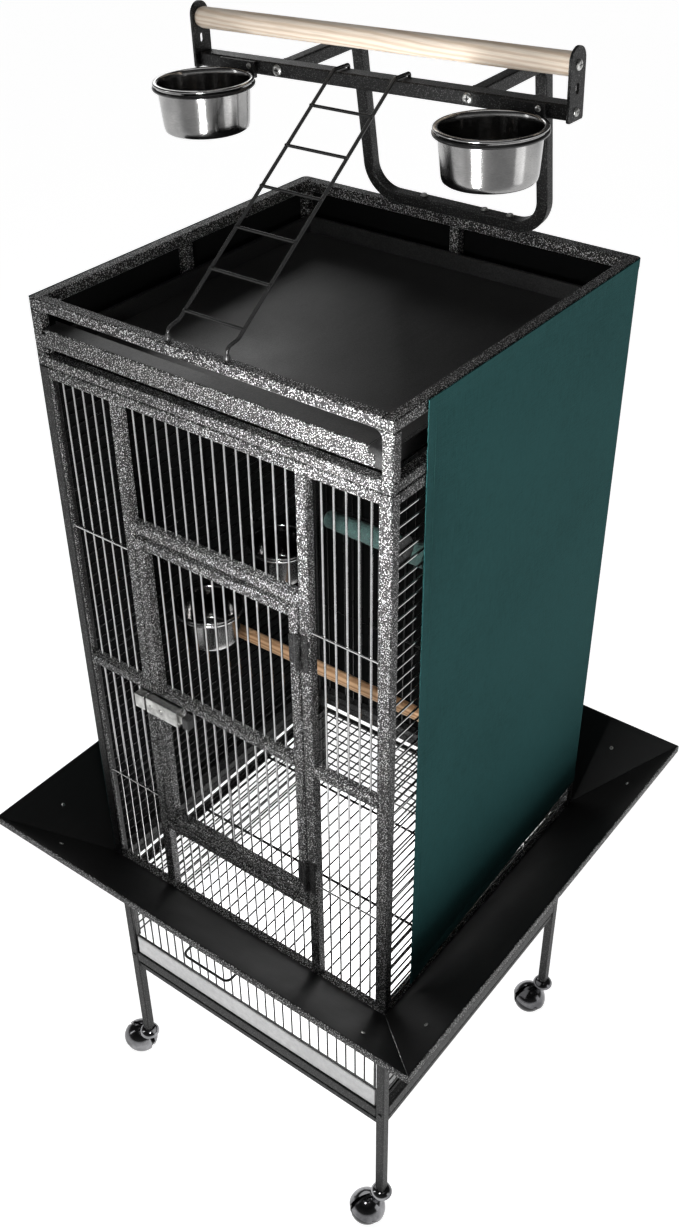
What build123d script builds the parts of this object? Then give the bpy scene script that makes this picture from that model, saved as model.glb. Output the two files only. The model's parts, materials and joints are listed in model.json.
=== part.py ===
from build123d import *
import math
import os

# Bird cage on stand, millimetres, +Z up, front at -Y, origin on the floor
# below the middle of the cage body.

os.makedirs("parts", exist_ok=True)

# ---- driving dimensions ----
width = 457.0          # body, outside, along X
depth = 457.0          # body, outside, along Y
tube = 12.7            # square tube of every frame
wire = 2.5             # grille wire diameter
pitch = 15.2           # grille wire pitch
z_caster = 62.0        # underside of a leg
z_stand_top = 442.0    # top of the stand, underside of the body
z_body_top = 1187.0
z_top = 1263.0         # top of the play-top frame
z_tray_rail = 231.0    # lower stand rail, 19 high
tray_rail_h = 19.0
z_low_bar = 216.0
low_bar = 9.0
apron_in_z = 456.0
apron_out_z = 542.0
apron_run = 103.0
sheet = 1.5
ball_r = 24.0
trail = 21.0
stem_r = 4.0
stem_bore_r = 4.05
stile_in = 115.5       # half of the door opening
stile_out = stile_in + tube
door_half = 113.5
door_z0, door_z1 = 585.0, 1014.0
transom_z = 1020.5
lower_rail_z = 567.3
mid_z = 793.0
hinge_x, hinge_y = 114.5, -232.0
pin_r, pin_bore_r = 1.5, 1.55
# play stand: the bar and what it carries lean a little, right end up, about the bar's middle
lean_deg = 2.0
bar_y0, bar_y1 = 46.5, 65.5
bar_z0, bar_z1 = 1439.2, 1453.2
bar_half = 224.0
perch_y, perch_z, perch_r = 54.0, 1486.9, 10.8
plate_top = 1502.9
ring_tab = 4.6
u_half, u_y, u_r = 116.0, 219.0, 7.5
u_top_y = 188.0        # the arch leans forward from the rear rail to here
arm_rise = 5.0
cup_left_x, cup_right_x, cup_y = -167.5, 177.4, -11.0
cup_rim_z = 1444.5
cover_y0, cover_z0, cover_z1 = -177.0, 470.0, 1262.0

hw, hd = width / 2, depth / 2
iw, idp = hw - tube, hd - tube
wr = wire / 2


def bx(x0, x1, y0, y1, z0, z1):
    return Solid.make_box(x1 - x0, y1 - y0, z1 - z0, Plane((x0, y0, z0)))


def rod(p, q, r):
    p, q = Vector(*p), Vector(*q)
    return Solid.make_cylinder(r, (q - p).length, Plane(origin=p, z_dir=(q - p)))


def weld(first, rest):
    rest = list(rest)
    return first.fuse(*rest) if rest else first


def save(name, *shapes):
    solids = []
    for s in shapes:
        solids += list(s.solids())
    out = solids[0] if len(solids) == 1 else Compound(children=solids)
    export_step(out, "parts/%s.step" % name)


def even(lo, hi, p):
    # wire positions between two faces, spaced as near to p as fits
    n = max(1, round((hi - lo) / p))
    return [lo + (hi - lo) * (i + 1) / n for i in range(n - 1)]


# ---------------------------------------------------------------- stand
def leg(name, sx, sy):
    x0, x1 = sorted((sx * hw, sx * iw))
    y0, y1 = sorted((sy * hd, sy * idp))
    body = bx(x0, x1, y0, y1, z_caster, z_stand_top)
    c = ((x0 + x1) / 2, (y0 + y1) / 2)
    body = body.cut(rod((c[0], c[1], z_caster - 1), (c[0], c[1], z_caster + 42), stem_bore_r))
    save(name, body)
    return c


legs = {
    "fl": leg("leg_front_left", -1, -1),
    "fr": leg("leg_front_right", 1, -1),
    "rl": leg("leg_rear_left", -1, 1),
    "rr": leg("leg_rear_right", 1, 1),
}

rail_z1 = z_tray_rail + tray_rail_h


def stand_panel():
    # lies in the plane Y = 0..tube, along X from -idp to idp
    L = idp
    m = tube / 2
    parts = [
        bx(-L, L, 0, tube, z_tray_rail, rail_z1),
        bx(-L, L, m - low_bar / 2, m + low_bar / 2, z_low_bar, z_low_bar + low_bar),
    ]
    for x in (-L, -2.0, L - 4.0):
        parts.append(bx(x, x + 4.0, m - 2.0, m + 2.0, z_low_bar, z_stand_top - tube))
    for z in even(rail_z1, z_stand_top - tube, pitch):
        parts.append(rod((-L + 1, m, z), (L - 1, m, z), wr))
    return weld(bx(-L, L, 0, tube, z_stand_top - tube, z_stand_top), parts)


panel = stand_panel()
save("stand_rear", panel.moved(Location((0, idp, 0))))
save("stand_side_left", panel.moved(Location((-iw, 0, 0), (0, 0, 90))))
save("stand_side_right", panel.moved(Location((iw, 0, 0), (0, 0, -90))))
save("stand_front_top_rail", bx(-iw, iw, -hd, -idp, z_stand_top - tube, z_stand_top))
save(
    "stand_front_low_rails",
    bx(-iw, iw, -hd, -idp, z_tray_rail, rail_z1),
    bx(-iw, iw, -hd + 1.8, -hd + 1.8 + low_bar, z_low_bar, z_low_bar + low_bar),
)

# ledges that the litter tray and the grate slide on
tray_z = rail_z1 + 0.3
grate_z = 421.0
save(
    "drawer_runners",
    bx(-iw, -iw + 13, -idp, idp, rail_z1 - 2, rail_z1),
    bx(iw - 13, iw, -idp, idp, rail_z1 - 2, rail_z1),
    bx(-iw, -iw + 13, -idp, idp, grate_z - 2.3, grate_z - 0.3),
    bx(iw - 13, iw, -idp, idp, grate_z - 2.3, grate_z - 0.3),
)

# litter tray
tw, ty0, ty1, th = iw - 2.8, -hd + 2.5, idp - 4, 34.0
pan = bx(-tw, tw, ty0, ty1, tray_z, tray_z + th)
pan = pan.cut(bx(-tw + 2, tw - 2, ty0 + 2, ty1 - 2, tray_z + 2, tray_z + th + 1))
save("litter_tray", pan)

# pull-out grate: floor wires run front to back, fence hangs at its front
gw, gy0, gy1 = iw - 2.8, -hd + 6.0, idp - 4
gf = [
    bx(-gw, gw, gy1 - 5, gy1, grate_z, grate_z + 5),
    bx(-gw, -gw + 5, gy0, gy1, grate_z, grate_z + 5),
    bx(gw - 5, gw, gy0, gy1, grate_z, grate_z + 5),
    bx(-gw, gw, -72.0, -68.0, grate_z, grate_z + 1.4),
    bx(-gw, gw, 68.0, 72.0, grate_z, grate_z + 1.4),
]
for x in even(-gw + 5, gw - 5, pitch):
    gf.append(rod((x, gy0 + 2, grate_z + 2.5), (x, gy1 - 2, grate_z + 2.5), wr))
save("grate_floor", weld(bx(-gw, gw, gy0, gy0 + 5, grate_z, grate_z + 5), gf))

fy0, fz0 = -hd + 2.0, 286.5
ff = [bx(-gw, gw, fy0, fy0 + 3, fz0, fz0 + 3)]
for x in (-gw, gw - 3):
    ff.append(bx(x, x + 3, fy0, fy0 + 3, fz0, grate_z + 5))
for x in even(-gw + 3, gw - 3, pitch):
    ff.append(rod((x, fy0 + 1.5, fz0 + 1), (x, fy0 + 1.5, grate_z + 3), wr))
save("grate_front", weld(bx(-gw, gw, fy0, fy0 + 3.9, grate_z + 1, grate_z + 5), ff))

hx0, hx1, hz = -93.0, -13.0, 356.0
hp = FilletPolyline(
    (hx0, fy0, hz), (hx0, fy0 - 24, hz), (hx1, fy0 - 24, hz), (hx1, fy0, hz), radius=9
)
save("grate_handle", sweep(Plane(origin=(hx0, fy0, hz), z_dir=(0, -1, 0)) * Circle(2.0), path=hp))


# ---------------------------------------------------------------- casters
def caster(tag, cx, cy, ang):
    a = math.radians(ang)
    loc = Location((cx, cy, 0), (0, 0, ang))
    # local frame: trail along +X, axle along Y
    cap = Solid.make_cylinder(15.0, 10.0, Plane((0, 0, 50.5)))
    cap = cap.fillet(3.5, cap.edges().filter_by(GeomType.CIRCLE))
    stem = rod((0, 0, 58), (0, 0, z_caster + 40), stem_r)
    web = Polyline((-12, 51.5), (12, 51.5), (30, 40), (33, 30), (33, 18), (12, 14), (4, 22), (-8, 44), (-12, 51.5))
    web = extrude(Plane.XZ * make_face(web), amount=2.0, both=True)
    axle = rod((trail, -15, ball_r), (trail, 15, ball_r), 2.5)
    ball_big = Solid.make_sphere(ball_r + 2.0, Plane((trail, 0, ball_r)), -90, 90, 360)
    ball_gap = Solid.make_sphere(ball_r + 0.6, Plane((trail, 0, ball_r)), -90, 90, 360)
    hood = ball_big.cut(ball_gap).intersect(bx(-12, trail + 20, -9, 9, ball_r + 3, 52))
    fork = weld(cap, [stem, web, axle] + list(hood.solids()))
    save("caster_fork_" + tag, fork.moved(loc))
    ball = Solid.make_sphere(ball_r, Plane((trail, 0, ball_r)), -90, 90, 360)
    ball = ball.cut(rod((trail, -30, ball_r), (trail, 30, ball_r), 2.56))
    halves = []
    for s in (-1, 1):
        y0, y1 = sorted((s * 2.6, s * 30))
        h = ball.intersect(bx(-20, 60, y0, y1, -5, 60))
        halves += list(h.solids())
    save("caster_ball_" + tag, *[h.moved(loc) for h in halves])


caster("fl", *legs["fl"], 183)
caster("fr", *legs["fr"], 235)
caster("rl", *legs["rl"], 214)
caster("rr", *legs["rr"], 232)


# ---------------------------------------------------------------- aprons
def apron(name, turn):
    r0, r1 = hw + 0.1, hw + apron_run
    s = sheet
    pts = [
        (-r0, apron_in_z), (-r1, apron_out_z), (-r1 - s, apron_out_z), (-r1 - s, apron_out_z - 12),
        (-r1, apron_out_z - 12), (-r1, apron_out_z - 2.0), (-r0 - s, apron_in_z - 1.0),
        (-r0 - s, z_stand_top + 1), (-r0, z_stand_top + 1), (-r0, apron_in_z),
    ]
    prof = make_face(Plane.YZ * Polyline(*pts))
    strip = extrude(prof, amount=r1 + 10, both=True)
    wedge = extrude(make_face(Polyline((0, -1.3, 0), (-400, -401.3, 0), (400, -401.3, 0), (0, -1.3, 0))), amount=700)
    out = strip & wedge
    save(name, out.moved(Location((0, 0, 0), (0, 0, turn))))


apron("apron_front", 0)
apron("apron_right", 90)
apron("apron_rear", 180)
apron("apron_left", -90)

# ---------------------------------------------------------------- body
z0, z1 = z_stand_top, z_body_top
side_z = [z0 + tube + 7.6 + pitch * i for i in range(48) if z0 + tube + 7.6 + pitch * i < z1 - tube - 5]
inner_perch_z = side_z[15] + pitch / 2
mineral_perch_z = side_z[40] + pitch / 2


def side_panel():
    # plane X = 0..tube outward to -X at X = 0; built for the left side
    xo, xi = -hw, -iw
    xm = -hw + 4.0
    parts = [
        bx(xo, xi, idp, hd, z0, z1),
        bx(xo, xi, -idp, idp, z0, z0 + tube),
        bx(xo, xi, -idp, idp, z1 - tube, z1),
    ]
    for z in side_z:
        parts.append(rod((xm, -idp - 1, z), (xm, idp + 1, z), wr))
    for y in (-108.0, 0.0, 108.0):
        parts.append(rod((xm + wire + 0.1, y, z0 + tube - 1), (xm + wire + 0.1, y, z1 - tube + 1), wr))
    return weld(bx(xo, xi, -hd, -idp, z0, z1), parts)


left = side_panel()
save("left_panel", left)
plate = rod((hw - 8.8, -202.0, 1112.0), (hw - 5.2, -202.0, 1112.0), 17.0)
save("right_panel", left.moved(Location((0, 0, 0), (0, 0, 180))).fuse(plate))

ym = -hd + tube / 2
rp = [bx(-iw, iw, -hd, -idp, z1 - tube, z1)]
for x in even(-iw, iw, pitch):
    rp.append(rod((x, ym, z0 + tube - 1), (x, ym, z1 - tube + 1), wr))
for x in (-iw, iw - 3):
    rp.append(bx(x, x + 3, ym - 5.3, ym - 1.4, z0 + 2, z1 - 2))
for z in (614.0, 799.0, 990.0):
    rp.append(rod((-iw + 1, ym - wire - 0.1, z), (iw - 1, ym - wire - 0.1, z), wr))
rear = weld(bx(-iw, iw, -hd, -idp, z0, z0 + tube), rp)
save("rear_panel", rear.moved(Location((0, 0, 0), (0, 0, 180))))

rf = [
    bx(-iw, iw, idp - 8, idp, z1 - 12, z1 - 4),
    bx(-iw, -iw + 8, -idp, idp, z1 - 12, z1 - 4),
    bx(iw - 8, iw, -idp, idp, z1 - 12, z1 - 4),
]
for x in even(-iw + 8, iw - 8, pitch):
    rf.append(rod((x, -idp + 6, z1 - 6), (x, idp - 6, z1 - 6), wr))
for y in (-70.0, 70.0):
    rf.append(rod((-iw + 6, y, z1 - 6 - wire - 0.1), (iw - 6, y, z1 - 6 - wire - 0.1), wr))
save("roof_panel", weld(bx(-iw, iw, -idp, -idp + 8, z1 - 12, z1 - 4), rf))


def front_side(name, s):
    def b(xa, xb, *r):
        xa, xb = sorted((s * xa, s * xb))
        return bx(xa, xb, *r)
    parts = [
        b(stile_out, iw, -hd, -idp, z0, z0 + tube),
        b(stile_out, iw, -hd, -idp, mid_z, mid_z + tube),
        b(stile_out, iw, -hd, -idp, z1 - tube, z1),
        b(iw - 3, iw, ym - 5.3, ym - 1.4, z0 + 2, z1 - 2),
    ]
    for x in even(stile_out, iw, 14.6):
        parts.append(rod((s * x, ym, z0 + tube - 1), (s * x, ym, z1 - tube + 1), wr))
    for z in (614.0, 990.0):
        parts.append(rod((s * (stile_out - 1), ym - wire - 0.1, z), (s * (iw - 1), ym - wire - 0.1, z), wr))
    save(name, weld(b(stile_in, stile_out, -hd, -idp, z0, z1), parts))


front_side("front_left_grille", -1)
front_side("front_right_grille", 1)

tg = [bx(-stile_in, stile_in, -hd, -idp, z1 - tube, z1)]
for x in even(-stile_in, stile_in, 15.4):
    tg.append(rod((x, ym, transom_z + tube - 1), (x, ym, z1 - tube + 1), wr))
save("front_top_grille", weld(bx(-stile_in, stile_in, -hd, -idp, transom_z, transom_z + tube), tg))
bg = [bx(-stile_in, stile_in, -hd, -idp, z0, z0 + tube)]
for x in even(-stile_in, stile_in, 15.4):
    bg.append(rod((x, ym, z0 + tube - 1), (x, ym, lower_rail_z + 1), wr))
save("front_bottom_grille", weld(bx(-stile_in, stile_in, -hd, -idp, lower_rail_z, lower_rail_z + tube), bg))

# ---------------------------------------------------------------- door
dh = door_half
dp = [
    bx(dh - tube, dh, -hd, -idp, door_z0, door_z1),
    bx(-dh + tube, dh - tube, -hd, -idp, door_z0, door_z0 + tube),
    bx(-dh + tube, dh - tube, -hd, -idp, mid_z, mid_z + tube),
    bx(-dh + tube, dh - tube, -hd, -idp, door_z1 - tube, door_z1),
]
for x in even(-dh + tube, dh - tube, 15.5):
    dp.append(rod((x, ym, door_z0 + tube - 1), (x, ym, door_z1 - tube + 1), wr))
hinge_zs = (628.0, 962.0)
for hz_ in hinge_zs:
    dp.append(bx(dh - 12, dh - 2.6, -hd - 1.5, -hd + 1, hz_ - 18, hz_ + 18))
    k = rod((hinge_x, hinge_y, hz_ - 9), (hinge_x, hinge_y, hz_ + 9), 3.3)
    dp.append(k)
    dp.append(bx(hinge_x - 3.0, hinge_x - 1.0, hinge_y, -hd, hz_ - 9, hz_ + 9))
door = weld(bx(-dh, -dh + tube, -hd, -idp, door_z0, door_z1), dp)
for hz_ in hinge_zs:
    door = door.cut(rod((hinge_x, hinge_y, hz_ - 12), (hinge_x, hinge_y, hz_ + 12), pin_bore_r))
save("door", door)

hinges = []
for hz_ in hinge_zs:
    h = [bx(hinge_x + 3.6, stile_in + 11, -hd - 1.5, -hd, hz_ - 24, hz_ + 24)]
    for a, b in ((9.4, 22), (-22, -9.4)):
        h.append(rod((hinge_x, hinge_y, hz_ + a), (hinge_x, hinge_y, hz_ + b), 3.3))
        h.append(bx(hinge_x + 1.0, hinge_x + 4.0, hinge_y, -hd, min(hz_ + a, hz_ + b), max(hz_ + a, hz_ + b)))
    hinges.append(weld(rod((hinge_x, hinge_y, hz_ - 23), (hinge_x, hinge_y, hz_ + 23), pin_r), h))
save("door_hinges", *hinges)

# latch: housing on the door, keeper on the left stile, bolt slides between them
ly0, ly1, lz0, lz1 = -hd - 14, -hd, 774.0, 796.0
hs = bx(-113.0, -64, ly0, ly1, lz0, lz1)
hs = hs.cut(bx(-120, -60, ly0 + 3.5, ly0 + 9.5, lz0 + 5, lz1 - 5))
hs = hs.cut(bx(-84, -72, ly0 - 1, ly0 + 4, lz0 + 7, lz1 - 7))
save("latch_housing", hs)
kp = bx(-131, -116.0, ly0, ly1, lz0 + 1, lz1 - 1)
kp = kp.cut(bx(-140, -110, ly0 + 3, ly0 + 10, lz0 + 4.5, lz1 - 4.5))
save("latch_keeper", kp)
bolt = weld(bx(-112.8, -57, ly0 + 4, ly0 + 9, lz0 + 5.5, lz1 - 5.5), [bx(-57.3, -46, ly0 + 1, ly0 + 12, lz0 + 3, lz1 - 3)])
save("latch_bolt", bolt)


# ---------------------------------------------------------------- play top
def top_side(name, s):
    x0, x1 = sorted((s * hw, s * iw))
    a, b = z1, z_top
    parts = [bx(x0, x1, -hd, hd, b - tube, b)]
    for y0, y1 in ((-hd, -idp), (-tube / 2, tube / 2), (idp, hd)):
        parts.append(bx(x0, x1, y0, y1, a + tube, b - tube))
    save(name, weld(bx(x0, x1, -hd, hd, a, a + tube), parts))


top_side("playtop_left", -1)
top_side("playtop_right", 1)
save(
    "playtop_rear",
    weld(
        bx(-iw, iw, idp, hd, z1, z1 + tube),
        [bx(-iw, iw, idp, hd, z_top - tube, z_top), bx(-6.35, 6.35, idp, hd, z1 + tube, z_top - tube)],
    ),
)
save("playtop_front", bx(-iw, iw, -hd, -idp, z1, z1 + tube), bx(-iw, iw, -hd, -idp, z_top - tube, z_top))

# play tray, slides forward through the slot between the two front rails
pw, pz, py1 = 210.0, z1 + tube + 0.4, idp - 3.5
py0 = -idp + 2.5
pt = [
    bx(-pw, pw, py1 - sheet, py1, pz, pz + 21),
    bx(-pw, -pw + sheet, py0, py1, pz, pz + 21),
    bx(pw - sheet, pw, py0, py1, pz, pz + 21),
    bx(-pw, pw, py0, py0 + sheet, pz, pz + 35),
    bx(-205, 205, -hd - 5, py0 + sheet, pz + 35 - sheet, pz + 35),
    bx(-198, 198, -hd - 5, -hd - 5 + sheet, pz + 14, pz + 35),
    bx(-pw - 4.3, -pw + sheet, py0, py1, pz + 21 - sheet, pz + 21),
    bx(pw - sheet, pw + 4.3, py0, py1, pz + 21 - sheet, pz + 21),
    bx(-pw, pw, py1 - sheet, py1 + 2.8, pz + 21 - sheet, pz + 21),
]
save("play_tray", weld(bx(-pw, pw, py0, py1, pz, pz + sheet), pt))

# ---------------------------------------------------------------- play stand
lean_t = math.tan(math.radians(lean_deg))


def lean(shape):
    return shape.rotate(Axis((0, 0, bar_z1), (0, 1, 0)), -lean_deg)


bar = bx(-bar_half, bar_half, bar_y0, bar_y1, bar_z0, bar_z1)
save("crossbar", lean(bar))
plates = []
for s in (-1, 1):
    xa, xb = sorted((s * bar_half, s * (bar_half + 3)))
    p = bx(xa, xb, perch_y - 13, perch_y + 13, bar_z0 - 1, plate_top - 13)
    p = p.fuse(rod((xa, perch_y, plate_top - 13), (xb, perch_y, plate_top - 13), 13))
    p = p.cut(bx(xa - 1, xb + 1, perch_y - 3, perch_y + 3, 1461.5, 1471.5))
    plates.append(lean(p))
save("end_plates", *plates)
pr = rod((-bar_half, perch_y, perch_z), (bar_half, perch_y, perch_z), perch_r)
pr = pr.chamfer(1.5, None, pr.edges().filter_by(GeomType.CIRCLE))
save("play_perch", lean(pr))

arm_z = (bar_z0 + bar_z1) / 2
arm_l, arm_r = arm_z - u_half * lean_t, arm_z + u_half * lean_t
arm_y = bar_y1 + 0.35
up = FilletPolyline(
    (-u_half, arm_y, arm_l), (-u_half, u_top_y, arm_l + arm_rise), (-u_half, u_y, z_top + u_r),
    (u_half, u_y, z_top + u_r), (u_half, u_top_y, arm_r + arm_rise), (u_half, arm_y, arm_r),
    radius=[17, 36, 36, 17],
)
save(
    "playstand_tube",
    sweep(Plane(origin=(-u_half, arm_y, arm_l), z_dir=(0, u_top_y - arm_y, arm_rise)) * Circle(u_r), path=up),
)

# ladder
lad_x0, lad_x1, lad_r = -40.0, 34.5, 2.0
foot = (-222.0, z_top + lad_r + 0.2)
rungs = [[], []]
lad = []
for i, x in enumerate((lad_x0, lad_x1)):
    hook_z = bar_z1 + x * lean_t + lad_r + 0.6
    lp = FilletPolyline(
        (x, foot[0], foot[1]), (x, bar_y0 - 3.2, hook_z), (x, bar_y1 + 2.6, hook_z), (x, bar_y1 + 2.6, hook_z - 8.6),
        radius=2.2,
    )
    th_ = math.atan2(hook_z - foot[1], bar_y0 - 3.2 - foot[0])
    pl = Plane(origin=(x, foot[0], foot[1]), z_dir=(0, math.cos(th_), math.sin(th_)))
    lad.append(sweep(pl * Circle(lad_r), path=lp))
    for k in range(6):
        d = 31.9 + 49.7 * k
        rungs[i].append((foot[0] + d * math.cos(th_), foot[1] + d * math.sin(th_)))
for (ya, za), (yb, zb) in zip(*rungs):
    lad.append(rod((lad_x0 + lad_r, ya, za), (lad_x1 - lad_r, yb, zb), lad_r - 0.1))
save("ladder", *lad)


# ---------------------------------------------------------------- cups
def cup(name, cx, cy, rim_z, r_top, r_bot, h, rim_r, leaning=False):
    t = 1.0
    zb = rim_z - h
    outer = Polyline(
        (0, zb), (r_bot - 5, zb), (r_bot - 1.5, zb + 1.6), (r_bot, zb + 5), (r_top, rim_z - 3.4),
        (rim_r, rim_z - 3.4), (rim_r, rim_z), (r_top - t, rim_z), (r_bot - t, zb + 5.4),
        (r_bot - t - 1.2, zb + 2.4), (r_bot - 5.2, zb + t), (0, zb + t), (0, zb),
    )
    c = revolve(make_face(Plane.XZ * outer), Axis.Z, 360)
    c = c.moved(Location((cx, cy, 0)))
    save(name, lean(c) if leaning else c)


def ring(cx, cy, z, r):
    return Solid.make_torus(r, 2.0, Plane((cx, cy, z)))


for name, cx in (("cup_ring_left", cup_left_x), ("cup_ring_right", cup_right_x)):
    t = ring(cx, cup_y, cup_rim_z - 3.4 - 2.3, 51.5)
    save(name, lean(weld(bx(cx - 24, cx + 24, bar_y0 - ring_tab, bar_y0, bar_z0 - 3, bar_z1 - 1), [t])))
cup("cup_left", cup_left_x, cup_y, cup_rim_z, 48.3, 45.0, 50.0, 52.6, True)
cup("cup_right", cup_right_x, cup_y, cup_rim_z, 48.3, 45.0, 50.0, 52.6, True)

inner = []
icx = -172.0
for nm, cy, ic_rim in (("front", -62.0, 803.0), ("rear", 84.0, 822.0)):
    t = ring(icx, cy, ic_rim - 3.4 - 2.3, 43.4)
    inner.append(weld(bx(-iw - 4.6, icx - 42.0, cy - 7, cy + 7, ic_rim - 16, ic_rim - 3.9), [t]))
    cup("inner_cup_" + nm, icx, cy, ic_rim, 40.4, 37.5, 52.0, 44.6)
save("inner_cup_rings", *inner)

# ---------------------------------------------------------------- perches inside
ipy = 20.0
save("inner_perch", rod((-iw - 3, ipy, inner_perch_z), (iw + 3, ipy, inner_perch_z), 9.0))
mpy = -152.5
mp = Solid.make_cone(12.5, 9.5, 126.0, Plane(origin=(iw + 3, mpy, mineral_perch_z), z_dir=(-1, 0, 0)))
save("mineral_perch", mp)

# ---------------------------------------------------------------- cover
ca, cb = hw + 0.8, hw + 2.8
cv = bx(-cb, cb, -hd + (cover_y0 + hd), cb, cover_z0, cover_z1)
cv = cv.cut(bx(-ca, ca, -300, ca, cover_z0 - 1, cover_z1 + 1))
cv = cv.fuse(bx(-cb, -ca, -226.0, cover_y0 + 1, cover_z0, cover_z1))
save("cover", cv)

# ---------------------------------------------------------------- bolts
heads = []


def head(p, d, r, h):
    d = Vector(*d).normalized()
    p = Vector(*p)
    heads.append(rod(tuple(p), tuple(p + d * h), r))


for x in (-u_half, u_half):
    head((x, bar_y0, arm_z), (0, -1, 0), 5.5, 2.4)
for x in (cup_left_x + 17, cup_right_x + 17):
    head((x, bar_y0 - ring_tab, 1448.0), (0, -1, 0), 3.0, 1.6)
for s in (-1, 1):
    head((s * (bar_half + 3), perch_y, perch_z), (s, 0, 0), 5.0, 2.2)
    head((s * (bar_half + 3), perch_y, arm_z), (s, 0, 0), 4.0, 2.0)
heads[:] = [lean(h) for h in heads]
for x in (-45.0, 37.5, 71.0):
    head((x, u_y, z_top + 2 * u_r), (0, 0, 1), 4.2, 2.2)
for s in (-1, 1):
    # thread and washer at each end of the long perch
    heads.append(rod((s * (iw + 3), ipy, inner_perch_z), (s * (hw - 2.6), ipy, inner_perch_z), 3.0))
    heads.append(rod((s * (hw - 2.6), ipy, inner_perch_z), (s * (hw - 0.2), ipy, inner_perch_z), 10.0))
heads.append(rod((iw + 3, mpy, mineral_perch_z), (hw - 2.4, mpy, mineral_perch_z), 3.0))
heads.append(rod((hw - 2.4, mpy, mineral_perch_z), (hw - 0.2, mpy, mineral_perch_z), 15.0))
# stand screws through the legs
for sx in (-1, 1):
    for sy in (-1, 1):
        for z in (z_tray_rail + 9.5, z_stand_top - 6.35):
            head((sx * (hw - 6.35), sy * hd, z), (0, sy, 0), 3.0, 1.4)
# apron corner screws
n_r, n_z = -0.6424, 0.7664
rr_ = 300.0
zz_ = apron_in_z + (rr_ - hw - 0.1) * (apron_out_z - apron_in_z) / (apron_run - 0.1)
for t_ in (-248.0, 248.0):
    for ux, uy in ((0, -1), (1, 0), (0, 1), (-1, 0)):
        px_, py_ = ux * rr_ - uy * t_, uy * rr_ + ux * t_
        head((px_, py_, zz_ + 0.05), (ux * n_r, uy * n_r, n_z), 2.6, 1.3)
save("bolts", *heads)
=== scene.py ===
import bpy
import json
import math
from mathutils import Vector, Matrix, noise
import bmesh


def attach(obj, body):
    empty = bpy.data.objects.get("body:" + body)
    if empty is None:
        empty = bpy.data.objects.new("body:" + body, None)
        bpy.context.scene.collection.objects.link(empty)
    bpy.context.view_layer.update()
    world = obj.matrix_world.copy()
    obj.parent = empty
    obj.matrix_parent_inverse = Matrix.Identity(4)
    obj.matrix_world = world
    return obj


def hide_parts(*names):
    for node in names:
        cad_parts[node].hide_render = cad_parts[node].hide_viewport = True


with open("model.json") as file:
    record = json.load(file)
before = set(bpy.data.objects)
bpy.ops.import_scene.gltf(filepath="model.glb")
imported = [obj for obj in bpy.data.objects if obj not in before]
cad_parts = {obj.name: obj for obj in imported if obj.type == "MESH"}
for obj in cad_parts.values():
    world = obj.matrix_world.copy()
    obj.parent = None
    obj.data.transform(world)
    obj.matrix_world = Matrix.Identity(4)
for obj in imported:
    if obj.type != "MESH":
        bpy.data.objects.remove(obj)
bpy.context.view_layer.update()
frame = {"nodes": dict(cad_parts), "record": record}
nodes = frame["nodes"]

# ------------------------------------------------------------------ camera
cam_data = bpy.data.cameras.new("camera")
cam = bpy.data.objects.new("camera", cam_data)
bpy.context.scene.collection.objects.link(cam)
yaw, pitch_a, roll = 0.6559, 0.6355, -0.0135
d = Vector((-math.sin(yaw) * math.cos(pitch_a), math.cos(yaw) * math.cos(pitch_a), -math.sin(pitch_a)))
right = Vector((math.cos(yaw), math.sin(yaw), 0.0))
up = right.cross(d)
r2 = math.cos(roll) * right + math.sin(roll) * up
u2 = -math.sin(roll) * right + math.cos(roll) * up
cam.matrix_world = Matrix((
    (r2.x, u2.x, -d.x, 0.807717),
    (r2.y, u2.y, -d.y, -1.060841),
    (r2.z, u2.z, -d.z, 1.807484),
    (0, 0, 0, 1),
))
cam_data.sensor_fit = "AUTO"
cam_data.sensor_width = 36.0
cam_data.lens = 1335.252 / 1228.0 * 36.0
cam_data.clip_start, cam_data.clip_end = 0.05, 60.0
bpy.context.scene.camera = cam
bpy.context.scene.view_settings.view_transform = "Standard"

# ------------------------------------------------------------------ sizes, millimetres, as the CAD has them
HW, T, WR = 228.5, 12.7, 1.25
IW = HW - T
PITCH = 15.2
Z0, Z1, ZT = 442.0, 1187.0, 1263.0
STILE = 115.5
DOOR = 113.5
YM = -HW + T / 2


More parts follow.
